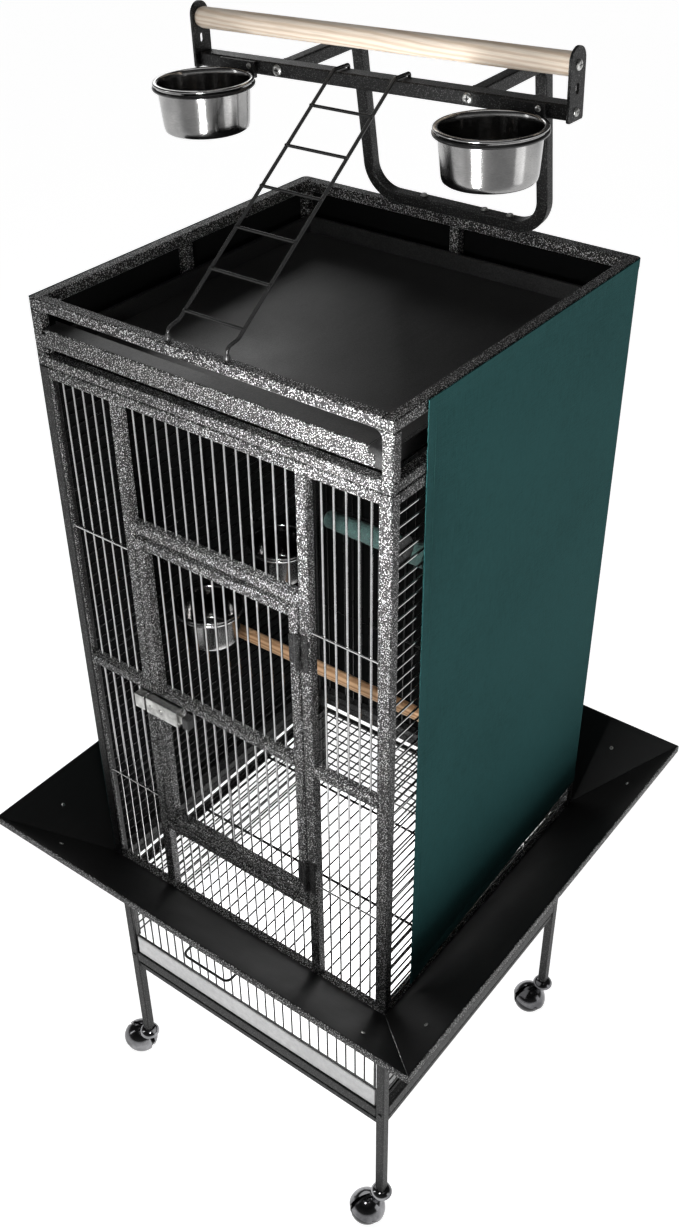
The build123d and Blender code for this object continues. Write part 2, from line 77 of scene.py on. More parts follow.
# ------------------------------------------------------------------ mesh code
class Build:
    def __init__(self):
        self.v, self.f, self.m = [], [], []

    def add(self, vs, fs, m=0):
        b = len(self.v)
        self.v += [tuple(p) for p in vs]
        self.f += [tuple(i + b for i in f) for f in fs]
        self.m += [m] * len(fs)

    def box(self, x0, x1, y0, y1, z0, z1, c=0.9, m=0):
        """A square tube or block with rounded-over long edges."""
        x0, x1 = sorted((x0, x1))
        y0, y1 = sorted((y0, y1))
        z0, z1 = sorted((z0, z1))
        c = min(c, (x1 - x0) * 0.45, (y1 - y0) * 0.45, (z1 - z0) * 0.45)
        X, Y, Z = (x0, x1), (y0, y1), (z0, z1)
        vs, ix = [], {}
        for i in (0, 1):
            for j in (0, 1):
                for k in (0, 1):
                    sx, sy, sz = (1 - 2 * i), (1 - 2 * j), (1 - 2 * k)
                    for a in range(3):
                        p = [X[i] + sx * c, Y[j] + sy * c, Z[k] + sz * c]
                        p[a] = (X[i], Y[j], Z[k])[a]
                        ix[(i, j, k, a)] = len(vs)
                        vs.append(p)
        fs = []
        for a in range(3):
            b, e = (a + 1) % 3, (a + 2) % 3
            for s in (0, 1):
                q = []
                for u, w in ((0, 0), (1, 0), (1, 1), (0, 1)):
                    key = [0, 0, 0]
                    key[a], key[b], key[e] = s, u, w
                    q.append(ix[(*key, a)])
                fs.append(tuple(q if s else q[::-1]))
        for a in range(3):  # edges along axis a
            b, e = (a + 1) % 3, (a + 2) % 3
            for u in (0, 1):
                for w in (0, 1):
                    k0, k1 = [0, 0, 0], [0, 0, 0]
                    k0[a], k1[a] = 0, 1
                    k0[b] = k1[b] = u
                    k0[e] = k1[e] = w
                    q = [ix[(*k0, b)], ix[(*k1, b)], ix[(*k1, e)], ix[(*k0, e)]]
                    fs.append(tuple(q if (u == w) else q[::-1]))
        for i in (0, 1):
            for j in (0, 1):
                for k in (0, 1):
                    t = [ix[(i, j, k, 0)], ix[(i, j, k, 1)], ix[(i, j, k, 2)]]
                    fs.append(tuple(t if (i + j + k) % 2 else t[::-1]))
        self.add(vs, fs, m)

    def sweep(self, pts, r, n=10, m=0, square=False, caps=True, up=None, scale=None):
        """A wire or tube along a line of points. square gives a square tube with rounded corners."""
        P = [Vector(p) for p in pts]
        tan = []
        for i in range(len(P)):
            a = P[i] - P[i - 1] if i else P[1] - P[0]
            b = P[i + 1] - P[i] if i + 1 < len(P) else P[-1] - P[-2]
            tan.append((a.normalized() + b.normalized()).normalized())
        ref = Vector(up) if up else (Vector((0, 0, 1)) if abs(tan[0].z) < 0.9 else Vector((1, 0, 0)))
        nrm = (ref - tan[0] * ref.dot(tan[0])).normalized()
        prof = []
        if square:
            c = r * 0.28
            for k in range(4):
                a0 = math.pi / 2 * k
                cx, cy = (r - c) * (1 if k in (0, 3) else -1), (r - c) * (1 if k in (0, 1) else -1)
                for s in range(4):
                    a = a0 + math.pi / 2 * s / 3
                    prof.append((cx + c * math.cos(a), cy + c * math.sin(a)))
        else:
            prof = [(r * math.cos(2 * math.pi * k / n), r * math.sin(2 * math.pi * k / n)) for k in range(n)]
        n = len(prof)
        vs = []
        for i, p in enumerate(P):
            if i:
                nrm = (nrm - tan[i] * nrm.dot(tan[i])).normalized()
            bi = tan[i].cross(nrm)
            s = scale(i / (len(P) - 1)) if scale else 1.0
            if 0 < i < len(P) - 1:
                half = max(0.5, math.sqrt(max(0.0, (1 + (P[i] - P[i - 1]).normalized().dot((P[i + 1] - P[i]).normalized())) / 2)))
            else:
                half = 1.0
            for x, y in prof:
                vs.append(p + nrm * (x * s) + bi * (y * s))
        fs = []
        for i in range(len(P) - 1):
            for k in range(n):
                a, b = i * n + k, i * n + (k + 1) % n
                fs.append((a, b, b + n, a + n))
        if caps:
            fs.append(tuple(range(n))[::-1])
            fs.append(tuple(range((len(P) - 1) * n, len(P) * n)))
        self.add(vs, fs, m)

    def wire(self, p, q, r=WR, m=1, n=8):
        self.sweep([p, q], r, n=n, m=m, caps=False)

    def lathe(self, prof, centre=(0, 0, 0), axis=(0, 0, 1), n=64, m=0, x=None, arc=None):
        """Turns (radius, height) points about an axis."""
        ax = Vector(axis).normalized()
        e1 = Vector(x) if x else (Vector((1, 0, 0)) if abs(ax.x) < 0.9 else Vector((0, 1, 0)))
        e1 = (e1 - ax * e1.dot(ax)).normalized()
        e2 = ax.cross(e1)
        c = Vector(centre)
        rows = []
        vs = []
        full = arc is None
        a0, a1 = (0, 2 * math.pi) if full else arc
        cols = n if full else n + 1
        for r, h in prof:
            if r < 1e-6:
                rows.append([len(vs)] * cols)
                vs.append(c + ax * h)
            else:
                row = []
                for k in range(cols):
                    a = a0 + (a1 - a0) * k / n
                    row.append(len(vs))
                    vs.append(c + ax * h + (e1 * math.cos(a) + e2 * math.sin(a)) * r)
                rows.append(row)
        fs = []
        for i in range(len(rows) - 1):
            for k in range(n):
                k2 = (k + 1) % n if full else k + 1
                q = [rows[i][k], rows[i][k2], rows[i + 1][k2], rows[i + 1][k]]
                q2 = []
                for t in q:
                    if t not in q2:
                        q2.append(t)
                if len(q2) > 2:
                    fs.append(tuple(q2))
        self.add(vs, fs, m)

    def make(self, name, mats, body, replaces=(), sharp=50.0, weighted=True):
        me = bpy.data.meshes.new(name)
        me.from_pydata([(x / 1000, y / 1000, z / 1000) for x, y, z in self.v], [], self.f)
        me.validate()
        for mt in mats:
            me.materials.append(mt)
        me.polygons.foreach_set("material_index", self.m[: len(me.polygons)])
        me.polygons.foreach_set("use_smooth", [True] * len(me.polygons))
        me.set_sharp_from_angle(angle=math.radians(sharp))
        me.update()
        ob = bpy.data.objects.new(name, me)
        bpy.context.scene.collection.objects.link(ob)
        if weighted:
            w = ob.modifiers.new("weighted", "WEIGHTED_NORMAL")
            w.keep_sharp = True
            w.weight = 80
        if replaces:
            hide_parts(*replaces)
        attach(ob, body)
        return ob


def fillet(pts, r, seg=6):
    """The same line with its corners rounded."""
    P = [Vector(p) for p in pts]
    rr = r if isinstance(r, (list, tuple)) else [r] * (len(P) - 2)
    out = [P[0]]
    for i in range(1, len(P) - 1):
        a, b = (P[i - 1] - P[i]), (P[i + 1] - P[i])
        la, lb = a.length, b.length
        a.normalize()
        b.normalize()
        ang = a.angle(b)
        t = min(rr[i - 1] / math.tan(ang / 2), la * 0.49, lb * 0.49)
        rad = t * math.tan(ang / 2)
        cen = P[i] + (a + b).normalized() * (rad / math.sin(ang / 2))
        s, e = P[i] + a * t, P[i] + b * t
        v0, v1 = s - cen, e - cen
        sweep_a = v0.angle(v1)
        ax = v0.cross(v1).normalized()
        for k in range(seg + 1):
            out.append(cen + Matrix.Rotation(sweep_a * k / seg, 3, ax) @ v0)
    out.append(P[-1])
    return out


def even(lo, hi, p):
    n = max(1, round((hi - lo) / p))
    return [lo + (hi - lo) * (i + 1) / n for i in range(n - 1)]


# ------------------------------------------------------------------ materials
def new_mat(name):
    m = bpy.data.materials.new(name)
    m.use_nodes = True
    nt = m.node_tree
    b = nt.nodes["Principled BSDF"]
    return m, nt, b


def node(nt, kind, inputs=None, **props):
    n = nt.nodes.new(kind)
    for k, v in props.items():
        setattr(n, k, v)
    for k, v in (inputs or {}).items():
        if isinstance(v, bpy.types.NodeSocket):
            nt.links.new(v, n.inputs[k])
        else:
            n.inputs[k].default_value = v
    return n


def ramp(nt, fac, stops, interp="LINEAR"):
    r = node(nt, "ShaderNodeValToRGB", {"Fac": fac})
    cr = r.color_ramp
    cr.interpolation = interp
    while len(cr.elements) > 1:
        cr.elements.remove(cr.elements[-1])
    cr.elements[0].position, cr.elements[0].color = stops[0][0], stops[0][1]
    for p, c in stops[1:]:
        e = cr.elements.new(p)
        e.color = c
    return r


def grey(v, a=1.0):
    return (v, v, v, a)


def coords(nt):
    return node(nt, "ShaderNodeTexCoord").outputs["Object"]


def hammertone(name, dark, mid, light, metal=0.25, rough=0.42, bump=0.8, scale=760.0, cut=0.5):
    """Black hammered enamel: silver flecks on the crests of fine dimples; how bright the flecks are (light) is partly
    painted glint.
    """
    m, nt, b = new_mat(name)
    co = coords(nt)
    grain = node(nt, "ShaderNodeTexNoise", {"Vector": co, "Scale": scale, "Detail": 1.5, "Roughness": 0.55})
    vor = node(nt, "ShaderNodeTexVoronoi", {"Vector": co, "Scale": scale * 0.75}, feature="F1")
    broad = node(nt, "ShaderNodeTexNoise", {"Vector": co, "Scale": 16.0, "Detail": 3.0})
    inv = node(nt, "ShaderNodeMath", {0: 0.62, 1: vor.outputs["Distance"]}, operation="SUBTRACT")
    sc = node(nt, "ShaderNodeMath", {0: inv.outputs[0], 1: 0.42}, operation="MULTIPLY")
    add = node(nt, "ShaderNodeMath", {0: sc.outputs[0], 1: grain.outputs["Fac"]}, operation="ADD")
    cr = ramp(nt, add.outputs[0], [(cut, grey(dark)), (cut + 0.03, grey(mid)), (cut + 0.085, grey(light))])
    tone = ramp(nt, broad.outputs["Fac"], [(0.3, grey(0.72)), (0.7, grey(1.0))])
    mul = node(nt, "ShaderNodeMix", {"Factor": 1.0, "A": cr.outputs["Color"], "B": tone.outputs["Color"]}, data_type="RGBA", blend_type="MULTIPLY")
    nt.links.new(mul.outputs["Result"], b.inputs["Base Color"])
    rr = ramp(nt, add.outputs[0], [(cut, grey(rough + 0.08)), (cut + 0.16, grey(rough - 0.10))])
    nt.links.new(rr.outputs["Color"], b.inputs["Roughness"])
    b.inputs["Metallic"].default_value = metal
    b.inputs["Specular IOR Level"].default_value = 0.35
    bp_ = node(nt, "ShaderNodeBump", {"Height": add.outputs[0], "Strength": bump, "Distance": 0.0005})
    nt.links.new(bp_.outputs["Normal"], b.inputs["Normal"])
    return m


def satin(name, base, rough, spec, scuff=0.35, metal=0.0, grain=900.0, bump=0.12, mottle=0.0):
    """Powder-coated sheet: fine orange peel, dust and faint rub marks."""
    m, nt, b = new_mat(name)
    co = coords(nt)
    peel = node(nt, "ShaderNodeTexNoise", {"Vector": co, "Scale": grain, "Detail": 3.0, "Roughness": 0.6})
    broad = node(nt, "ShaderNodeTexNoise", {"Vector": co, "Scale": 7.0, "Detail": 5.0, "Roughness": 0.6})
    st = node(nt, "ShaderNodeMapping", {"Vector": co, "Scale": (30.0, 3.0, 30.0)})
    rub = node(nt, "ShaderNodeTexNoise", {"Vector": st.outputs[0], "Scale": 4.0, "Detail": 6.0, "Roughness": 0.7})
    mixf = node(nt, "ShaderNodeMath", {0: broad.outputs["Fac"], 1: rub.outputs["Fac"]}, operation="MULTIPLY")
    col = ramp(nt, mixf.outputs[0], [(0.12, grey(base * 0.8)), (0.30, grey(base)), (0.46, grey(base * (1 + scuff)))])
    sp = ramp(nt, peel.outputs["Fac"], [(0.35, grey(1.0 - mottle)), (0.65, grey(1.0 + 0.0))])
    mul = node(nt, "ShaderNodeMix", {"Factor": 1.0, "A": col.outputs["Color"], "B": sp.outputs["Color"]}, data_type="RGBA", blend_type="MULTIPLY")
    nt.links.new(mul.outputs["Result"], b.inputs["Base Color"])
    rr = ramp(nt, broad.outputs["Fac"], [(0.3, grey(rough - 0.05)), (0.7, grey(rough + 0.07))])
    nt.links.new(rr.outputs["Color"], b.inputs["Roughness"])
    b.inputs["Metallic"].default_value = metal
    b.inputs["Specular IOR Level"].default_value = spec
    bp_ = node(nt, "ShaderNodeBump", {"Height": peel.outputs["Fac"], "Strength": bump, "Distance": 0.0004})
    nt.links.new(bp_.outputs["Normal"], b.inputs["Normal"])
    return m


def metal_mat(name, lo, hi, rough, aniso=0.0, brush=None, grime=0.3, scale=60.0):
    """Bare or plated metal with fine brushing, water marks and slightly darker patches."""
    m, nt, b = new_mat(name)
    co = coords(nt)
    vec = co
    if brush:
        vec = node(nt, "ShaderNodeMapping", {"Vector": co, "Scale": brush}).outputs[0]
    a = node(nt, "ShaderNodeTexNoise", {"Vector": vec, "Scale": scale, "Detail": 6.0, "Roughness": 0.65})
    c = node(nt, "ShaderNodeTexNoise", {"Vector": co, "Scale": 28.0, "Detail": 4.0})
    f = node(nt, "ShaderNodeMath", {0: a.outputs["Fac"], 1: c.outputs["Fac"]}, operation="MULTIPLY")
    col = ramp(nt, f.outputs[0], [(0.14, (lo[0], lo[1], lo[2], 1)), (0.34, (hi[0], hi[1], hi[2], 1))])
    nt.links.new(col.outputs["Color"], b.inputs["Base Color"])
    rr = ramp(nt, f.outputs[0], [(0.14, grey(min(1, rough + grime * 0.5))), (0.34, grey(rough))])
    nt.links.new(rr.outputs["Color"], b.inputs["Roughness"])
    b.inputs["Metallic"].default_value = 1.0
    bp_ = node(nt, "ShaderNodeBump", {"Height": a.outputs["Fac"], "Strength": 0.05, "Distance": 0.0003})
    nt.links.new(bp_.outputs["Normal"], b.inputs["Normal"])
    return m


def pine(name, c0, c1, c2):
    """Turned pine: long grain along X, growth bands, small knots."""
    m, nt, b = new_mat(name)
    co = coords(nt)
    mp = node(nt, "ShaderNodeMapping", {"Vector": co, "Scale": (1.2, 22.0, 22.0)})
    wob = node(nt, "ShaderNodeTexNoise", {"Vector": co, "Scale": 9.0, "Detail": 3.0})
    mv = node(nt, "ShaderNodeMix", {"Factor": 0.12, "A": mp.outputs[0], "B": wob.outputs["Color"]}, data_type="VECTOR")
    wav = node(nt, "ShaderNodeTexWave", {"Vector": mv.outputs["Result"], "Scale": 3.4, "Distortion": 3.2, "Detail": 3.0, "Detail Scale": 1.6}, wave_type="BANDS", bands_direction="Z")
    fib = node(nt, "ShaderNodeMapping", {"Vector": co, "Scale": (14.0, 520.0, 520.0)})
    fn = node(nt, "ShaderNodeTexNoise", {"Vector": fib.outputs[0], "Scale": 3.0, "Detail": 4.0})
    col = ramp(nt, wav.outputs["Fac"], [(0.0, (*c0, 1)), (0.55, (*c1, 1)), (0.93, (*c2, 1))])
    dk = ramp(nt, fn.outputs["Fac"], [(0.32, grey(0.86)), (0.6, grey(1.0))])
    mul = node(nt, "ShaderNodeMix", {"Factor": 1.0, "A": col.outputs["Color"], "B": dk.outputs["Color"]}, data_type="RGBA", blend_type="MULTIPLY")
    kn = node(nt, "ShaderNodeTexVoronoi", {"Vector": co, "Scale": 11.0, "Randomness": 1.0})
    kr = ramp(nt, kn.outputs["Distance"], [(0.0, (0.55, 0.34, 0.18, 1)), (0.09, (0.75, 0.52, 0.32, 1)), (0.17, grey(1.0))])
    mul2 = node(nt, "ShaderNodeMix", {"Factor": 0.75, "A": mul.outputs["Result"], "B": kr.outputs["Color"]}, data_type="RGBA", blend_type="MULTIPLY")
    nt.links.new(mul2.outputs["Result"], b.inputs["Base Color"])
    b.inputs["Roughness"].default_value = 0.62
    b.inputs["Specular IOR Level"].default_value = 0.3
    bp_ = node(nt, "ShaderNodeBump", {"Height": fn.outputs["Fac"], "Strength": 0.25, "Distance": 0.0004})
    nt.links.new(bp_.outputs["Normal"], b.inputs["Normal"])
    return m


def cloth(name, dark, light):
    """Plain woven cloth: two sets of threads, slubs, soft sheen."""
    m, nt, b = new_mat(name)
    geo = node(nt, "ShaderNodeTexCoord").outputs["UV"]
    wv = node(nt, "ShaderNodeTexWave", {"Vector": geo, "Scale": 330.0, "Distortion": 1.3, "Detail": 1.0, "Detail Scale": 6.0}, wave_type="BANDS", bands_direction="X")
    wh = node(nt, "ShaderNodeTexWave", {"Vector": geo, "Scale": 330.0, "Distortion": 1.3, "Detail": 1.0, "Detail Scale": 6.0}, wave_type="BANDS", bands_direction="Y")
    mx = node(nt, "ShaderNodeMath", {0: wv.outputs["Fac"], 1: wh.outputs["Fac"]}, operation="ADD")
    sx = node(nt, "ShaderNodeMapping", {"Vector": geo, "Scale": (55.0, 520.0, 1.0)})
    slub_h = node(nt, "ShaderNodeTexNoise", {"Vector": sx.outputs[0], "Scale": 1.0, "Detail": 3.0})
    sy = node(nt, "ShaderNodeMapping", {"Vector": geo, "Scale": (520.0, 45.0, 1.0)})
    slub_v = node(nt, "ShaderNodeTexNoise", {"Vector": sy.outputs[0], "Scale": 1.0, "Detail": 3.0})
    big = node(nt, "ShaderNodeTexNoise", {"Vector": geo, "Scale": 5.0, "Detail": 3.0})
    s1 = node(nt, "ShaderNodeMath", {0: slub_h.outputs["Fac"], 1: slub_v.outputs["Fac"]}, operation="ADD")
    s2 = node(nt, "ShaderNodeMath", {0: s1.outputs[0], 1: mx.outputs[0]}, operation="ADD")
    s3 = node(nt, "ShaderNodeMath", {0: s2.outputs[0], 1: big.outputs["Fac"]}, operation="ADD")
    s4 = node(nt, "ShaderNodeMath", {0: s3.outputs[0], 1: 0.25}, operation="MULTIPLY")
    col = ramp(nt, s4.outputs[0], [(0.38, (*dark, 1)), (0.62, (*light, 1))])
    nt.links.new(col.outputs["Color"], b.inputs["Base Color"])
    b.inputs["Roughness"].default_value = 0.92
    b.inputs["Specular IOR Level"].default_value = 0.06
    b.inputs["Sheen Weight"].default_value = 0.03
    b.inputs["Sheen Roughness"].default_value = 0.5
    bp_ = node(nt, "ShaderNodeBump", {"Height": s2.outputs[0], "Strength": 0.3, "Distance": 0.0004})
    nt.links.new(bp_.outputs["Normal"], b.inputs["Normal"])
    return m


def grit(name):
    m, nt, b = new_mat(name)
    co = coords(nt)
    v = node(nt, "ShaderNodeTexVoronoi", {"Vector": co, "Scale": 700.0})
    n_ = node(nt, "ShaderNodeTexNoise", {"Vector": co, "Scale": 60.0, "Detail": 6.0, "Roughness": 0.7})
    s = node(nt, "ShaderNodeMath", {0: v.outputs["Distance"], 1: n_.outputs["Fac"]}, operation="MULTIPLY")
    col = ramp(nt, s.outputs[0], [(0.05, (0.002, 0.009, 0.008, 1)), (0.25, (0.004, 0.019, 0.017, 1)), (0.5, (0.014, 0.046, 0.039, 1))])
    nt.links.new(col.outputs["Color"], b.inputs["Base Color"])
    b.inputs["Roughness"].default_value = 0.9
    bp_ = node(nt, "ShaderNodeBump", {"Height": s.outputs[0], "Strength": 0.8, "Distance": 0.001})
    nt.links.new(bp_.outputs["Normal"], b.inputs["Normal"])
    return m


# painted light and shade: the first hammertone has bright flecks for the parts in the key light, partly real flecks and
# partly painted glints; the second is the same finish with the flecks dimmed, painted shade for the parts out of that
# light
M_HAMMER = hammertone("hammertone", 0.0006, 0.004, 0.60, cut=0.622, scale=860.0, metal=0.10)
M_HAMMER_SHADED = hammertone("hammertone_painted_shade", 0.0010, 0.004, 0.085, metal=0.12, cut=0.63, scale=860.0)
# painted light and shade: one black enamelled wire in two copies, a bright reflective one for the front mesh in the key
# light and a dark one, painted shade, for wires out of that light
M_WIRE = satin("wire_enamel", 0.60, 0.16, 0.6, scuff=0.4, metal=0.97, grain=420.0, bump=0.05)
M_WIRE_SHADED = satin("wire_enamel_painted_shade", 0.012, 0.24, 0.45, scuff=0.8, metal=0.2, grain=420.0, bump=0.05)
M_SATIN = satin("satin_black", 0.0040, 0.50, 0.18, scuff=0.5, bump=0.10)
M_TRAY = satin("tray_black", 0.030, 0.40, 0.38, scuff=0.6, bump=0.45, grain=700.0, mottle=0.75)
M_WHITE = satin("tray_white", 0.88, 0.42, 0.4, scuff=0.10, bump=0.06)
M_CHROME = metal_mat("chrome", (0.10, 0.10, 0.105), (0.30, 0.30, 0.31), 0.07, grime=0.2, scale=30.0)
M_GUN = metal_mat("black_chrome", (0.02, 0.02, 0.021), (0.07, 0.07, 0.072), 0.10, grime=0.2, scale=30.0)
M_STEEL = metal_mat("stainless", (0.22, 0.22, 0.22), (0.40, 0.395, 0.39), 0.09, brush=(6.0, 6.0, 90.0), grime=0.25)
M_ZINC = metal_mat("zinc", (0.30, 0.30, 0.29), (0.66, 0.66, 0.64), 0.26, grime=0.5, scale=90.0)
M_KNOB = satin("knob_black", 0.018, 0.35, 0.5, scuff=0.5)
# painted light and shade: the pine comes in two copies, a pale one for the perch on top in the light from above and a
# darker one, painted shade, for the perch inside the cage
M_PINE = pine("pine", (0.90, 0.79, 0.67), (0.86, 0.73, 0.60), (0.74, 0.59, 0.45))
M_PINE_SHADED = pine("pine_shaded", (0.66, 0.42, 0.24), (0.58, 0.35, 0.19), (0.40, 0.22, 0.11))
M_GRIT = grit("mineral_grit")
M_CLOTH = cloth("woven_cloth", (0.0046, 0.0305, 0.0305), (0.0285, 0.1070, 0.1075))
# painted shade: the inner face of the cover is the same green cloth, coloured near black because it lies in the shade
# inside the cage
M_CLOTH_INSIDE_SHADE = cloth("cloth_inside_painted_shade", (0.0008, 0.0010, 0.0010), (0.0020, 0.0023, 0.0023))
M_HEM = cloth("woven_hem", (0.008, 0.036, 0.031), (0.022, 0.074, 0.064))
M_THREAD = cloth("hem_thread", (0.020, 0.075, 0.066), (0.040, 0.13, 0.115))

by_slot = {
    "hammertone": M_HAMMER_SHADED, "satin_black": M_SATIN, "white_tray": M_WHITE, "chrome": M_CHROME,
    "steel": M_STEEL, "zinc": M_ZINC, "pine": M_PINE, "mineral": M_GRIT, "cloth": M_CLOTH,
}
slot_of = {s["node"]: s["material_slot"] for s in frame["record"]["subparts"]}
for nm, ob in nodes.items():
    ob.data.materials.clear()
    ob.data.materials.append(by_slot[slot_of[nm]])

# painted light and shade: the first set carries the flecked hammertone and bright wire for parts in the key light; the
# second carries their dimmed copies, painted shade, for the stand, the left side, rear, roof and other parts out of
# that light
FRAME = [M_HAMMER, M_WIRE, M_HAMMER_SHADED, M_ZINC]
SHADED_FRAME_MATS = [M_HAMMER_SHADED, M_WIRE_SHADED, M_HAMMER_SHADED, M_ZINC]

# ------------------------------------------------------------------ stand
for tag, sx, sy in (("front_left", -1, -1), ("front_right", 1, -1), ("rear_left", -1, 1), ("rear_right", 1, 1)):
    g = Build()
    g.box(sx * HW, sx * IW, sy * HW, sy * IW, 62.0, Z0, c=1.1)
    # crimped foot collar
    cx, cy = sx * (HW + IW) / 2, sy * (HW + IW) / 2
    g.lathe([(4.6, 62.05), (6.1, 62.05), (6.1, 62.4)], (cx, cy, 0), n=32, m=3)
    g.make("stand_leg_" + tag, SHADED_FRAME_MATS, "cage", ["leg_" + tag])


def stand_panel(turn, name, nd):
    g = Build()
    L, mdl = IW, T / 2
    g.box(-L, L, 0, T, 231.0, 250.0, c=1.1)
    g.box(-L, L, mdl - 4.5, mdl + 4.5, 216.0, 225.0, c=0.8)
    g.box(-L, L, 0, T, 429.3, 442.0, c=1.1)
    for x in (-L + 0.05, -2.0, L - 4.05):
        g.box(x, x + 4.0, mdl - 2.0, mdl + 2.0, 224.0, 430.0, c=0.5)
    for z in even(250.0, 429.3, PITCH):
        g.wire((-L + 1, mdl, z), (L - 1, mdl, z))
    R = Matrix.Rotation(math.radians(turn), 3, "Z")
    off = R @ Vector((0, 215.8, 0))
    g.v = [tuple(R @ Vector(p) + off) for p in g.v]
    g.make(name, SHADED_FRAME_MATS, "cage", [nd])


stand_panel(0, "stand_grille_rear", "stand_rear")
stand_panel(90, "stand_grille_left", "stand_side_left")
stand_panel(-90, "stand_grille_right", "stand_side_right")
g = Build()
g.box(-IW, IW, -HW, -IW, 429.3, 442.0, c=1.1)
g.make("stand_rail_front_top", SHADED_FRAME_MATS, "cage", ["stand_front_top_rail"])
g = Build()
g.box(-IW, IW, -HW, -IW, 231.0, 250.0, c=1.1)
g.box(-IW, IW, -HW + 1.8, -HW + 10.8, 216.0, 225.0, c=0.8)
g.make("stand_rails_front_low", SHADED_FRAME_MATS, "cage", ["stand_front_low_rails"])

# ------------------------------------------------------------------ seed aprons
SEG = 26


def apron(turn, name, nd):
    g = Build()
    r0, r1, s, zi, zo = HW + 0.1, HW + 103.0, 1.5, 456.0, 542.0
    slope = Vector((r1 - r0, zo - zi)).normalized()
    nrm = Vector((-slope.y, slope.x))
    top = [(r0, 443.0), (r0, zi - 1.2)]
    top += [(r0 + 0.6, zi - 0.3), (r0 + 1.4, zi + 0.9)]
    for k in range(1, 8):
        f = k / 8
        top.append((r0 + (r1 - r0) * f, zi + (zo - zi) * f))
    top += [(r1 - 2.6, zo - 2.3), (r1 - 1.0, zo - 1.0), (r1 + 0.2, zo - 0.3), (r1 + 1.1, zo - 0.6), (r1 + 1.5, zo - 1.8), (r1 + 1.5, zo - 10.8), (r1 + 1.2, zo - 11.8)]
    und = [(r1 + 0.3, zo - 12.0), (r1, zo - 11.6), (r1, zo - 2.6), (r1 - 1.2, zo - 3.0)]
    for k in range(7, 0, -1):
        f = k / 8
        und.append((r0 + (r1 - r0) * f + 0.2, zi + (zo - zi) * f - 1.8))
    und += [(r0 + s + 0.3, zi - 1.6), (r0 + s, zi - 3.2), (r0 + s, 443.0)]
    prof = top + und
    n = len(prof)
    hem0 = len(top) - 5
    vs, fs, ms = [], [], []
    for i in range(SEG + 1):
        t = -1 + 2 * i / SEG
        for j, (r, z) in enumerate(prof):
            e = r - 0.4
            x = t * e
            # sheet metal is never quite flat: a shallow oil-can wave
            wv = 0.35 * math.sin(t * 5.1 + turn) * math.sin((r - r0) / (r1 - r0) * math.pi)
            dz = wv if (2 < j < len(top) - 6 or j > n - 11) and abs(t) < 0.97 else 0.0
            vs.append((x, -r, z + dz))
    for i in range(SEG):
        for j in range(n):
            a, b = i * n + j, i * n + (j + 1) % n
            fs.append((a, a + n, b + n, b))
            hem = hem0 <= j < len(top)
            ms.append(1 if hem else 0)
    b0 = len(g.v)
    g.v += vs
    g.f += fs
    g.m += ms
    g.f.append(tuple(range(n)))
    g.f.append(tuple(range(SEG * n, SEG * n + n))[::-1])
    g.m += [0, 0]
    R = Matrix.Rotation(math.radians(turn), 3, "Z")
    g.v = [tuple(R @ Vector(p)) for p in g.v]
    g.make(name, [M_SATIN, M_HAMMER], "cage", [nd], sharp=40.0)


apron(0, "seed_apron_front", "apron_front")
apron(90, "seed_apron_right", "apron_right")
apron(180, "seed_apron_rear", "apron_rear")
apron(-90, "seed_apron_left", "apron_left")

# ------------------------------------------------------------------ body grilles
SIDE_Z = [Z0 + T + 7.6 + PITCH * i for i in range(48) if Z0 + T + 7.6 + PITCH * i < Z1 - T - 5]


def side_panel(turn, name, nd, mats=None):
    g = Build()
    g.box(-HW, -IW, -HW, -IW, Z0, Z1, c=1.1)
    g.box(-HW, -IW, IW, HW, Z0, Z1, c=1.1)
    g.box(-HW, -IW, -IW, IW, Z0, Z0 + T, c=1.1)
    g.box(-HW, -IW, -IW, IW, Z1 - T, Z1, c=1.1)
    xm = -HW + 4.0
    for z in SIDE_Z:
        g.wire((xm, -IW - 1, z), (xm, IW + 1, z))
    for y in (-108.0, 0.0, 108.0):
        g.wire((xm + 2.6, y, Z0 + T - 1), (xm + 2.6, y, Z1 - T + 1))
        for z in SIDE_Z:
            g.lathe([(0, -1.0), (1.0, -0.8), (1.35, 0), (1.0, 0.8), (0, 1.0)], (xm + 1.3, y, z), (1, 0, 0), n=6, m=1)
    R = Matrix.Rotation(math.radians(turn), 3, "Z")
    g.v = [tuple(R @ Vector(p)) for p in g.v]
    g.make(name, mats or FRAME, "cage", [nd])


# painted shade: the left side takes the dimmed hammertone and wire, the right side the lit copies
side_panel(0, "side_grille_left", "left_panel", SHADED_FRAME_MATS)
side_panel(180, "side_grille_right", "right_panel")
g = Build()
g.lathe([(0, 0), (16.2, 0), (17, 0.8), (17, 2.8), (16.2, 3.6), (0, 3.6)], (HW - 8.8, -202.0, 1112.0), (1, 0, 0), n=48)
g.lathe([(6, 0), (6, 0.9), (5, 1.3), (0, 1.3)], (HW - 5.2, -200.0, 1112.0), (1, 0, 0), n=6)
g.make("side_plate", [M_HAMMER_SHADED], "cage", [])

g = Build()
g.box(-IW, IW, -HW, -IW, Z1 - T, Z1, c=1.1)
g.box(-IW, IW, -HW, -IW, Z0, Z0 + T, c=1.1)
for x in even(-IW, IW, PITCH):
    g.wire((x, YM, Z0 + T - 1), (x, YM, Z1 - T + 1))
for x in (-IW, IW - 3):
    g.box(x, x + 3, YM - 5.3, YM - 1.4, Z0 + 2, Z1 - 2, c=0.4)
for z in (614.0, 799.0, 990.0):
    g.wire((-IW + 1, YM - 2.6, z), (IW - 1, YM - 2.6, z))
g.v = [(-x, -y, z) for x, y, z in g.v]
g.make("rear_grille", SHADED_FRAME_MATS, "cage", ["rear_panel"])

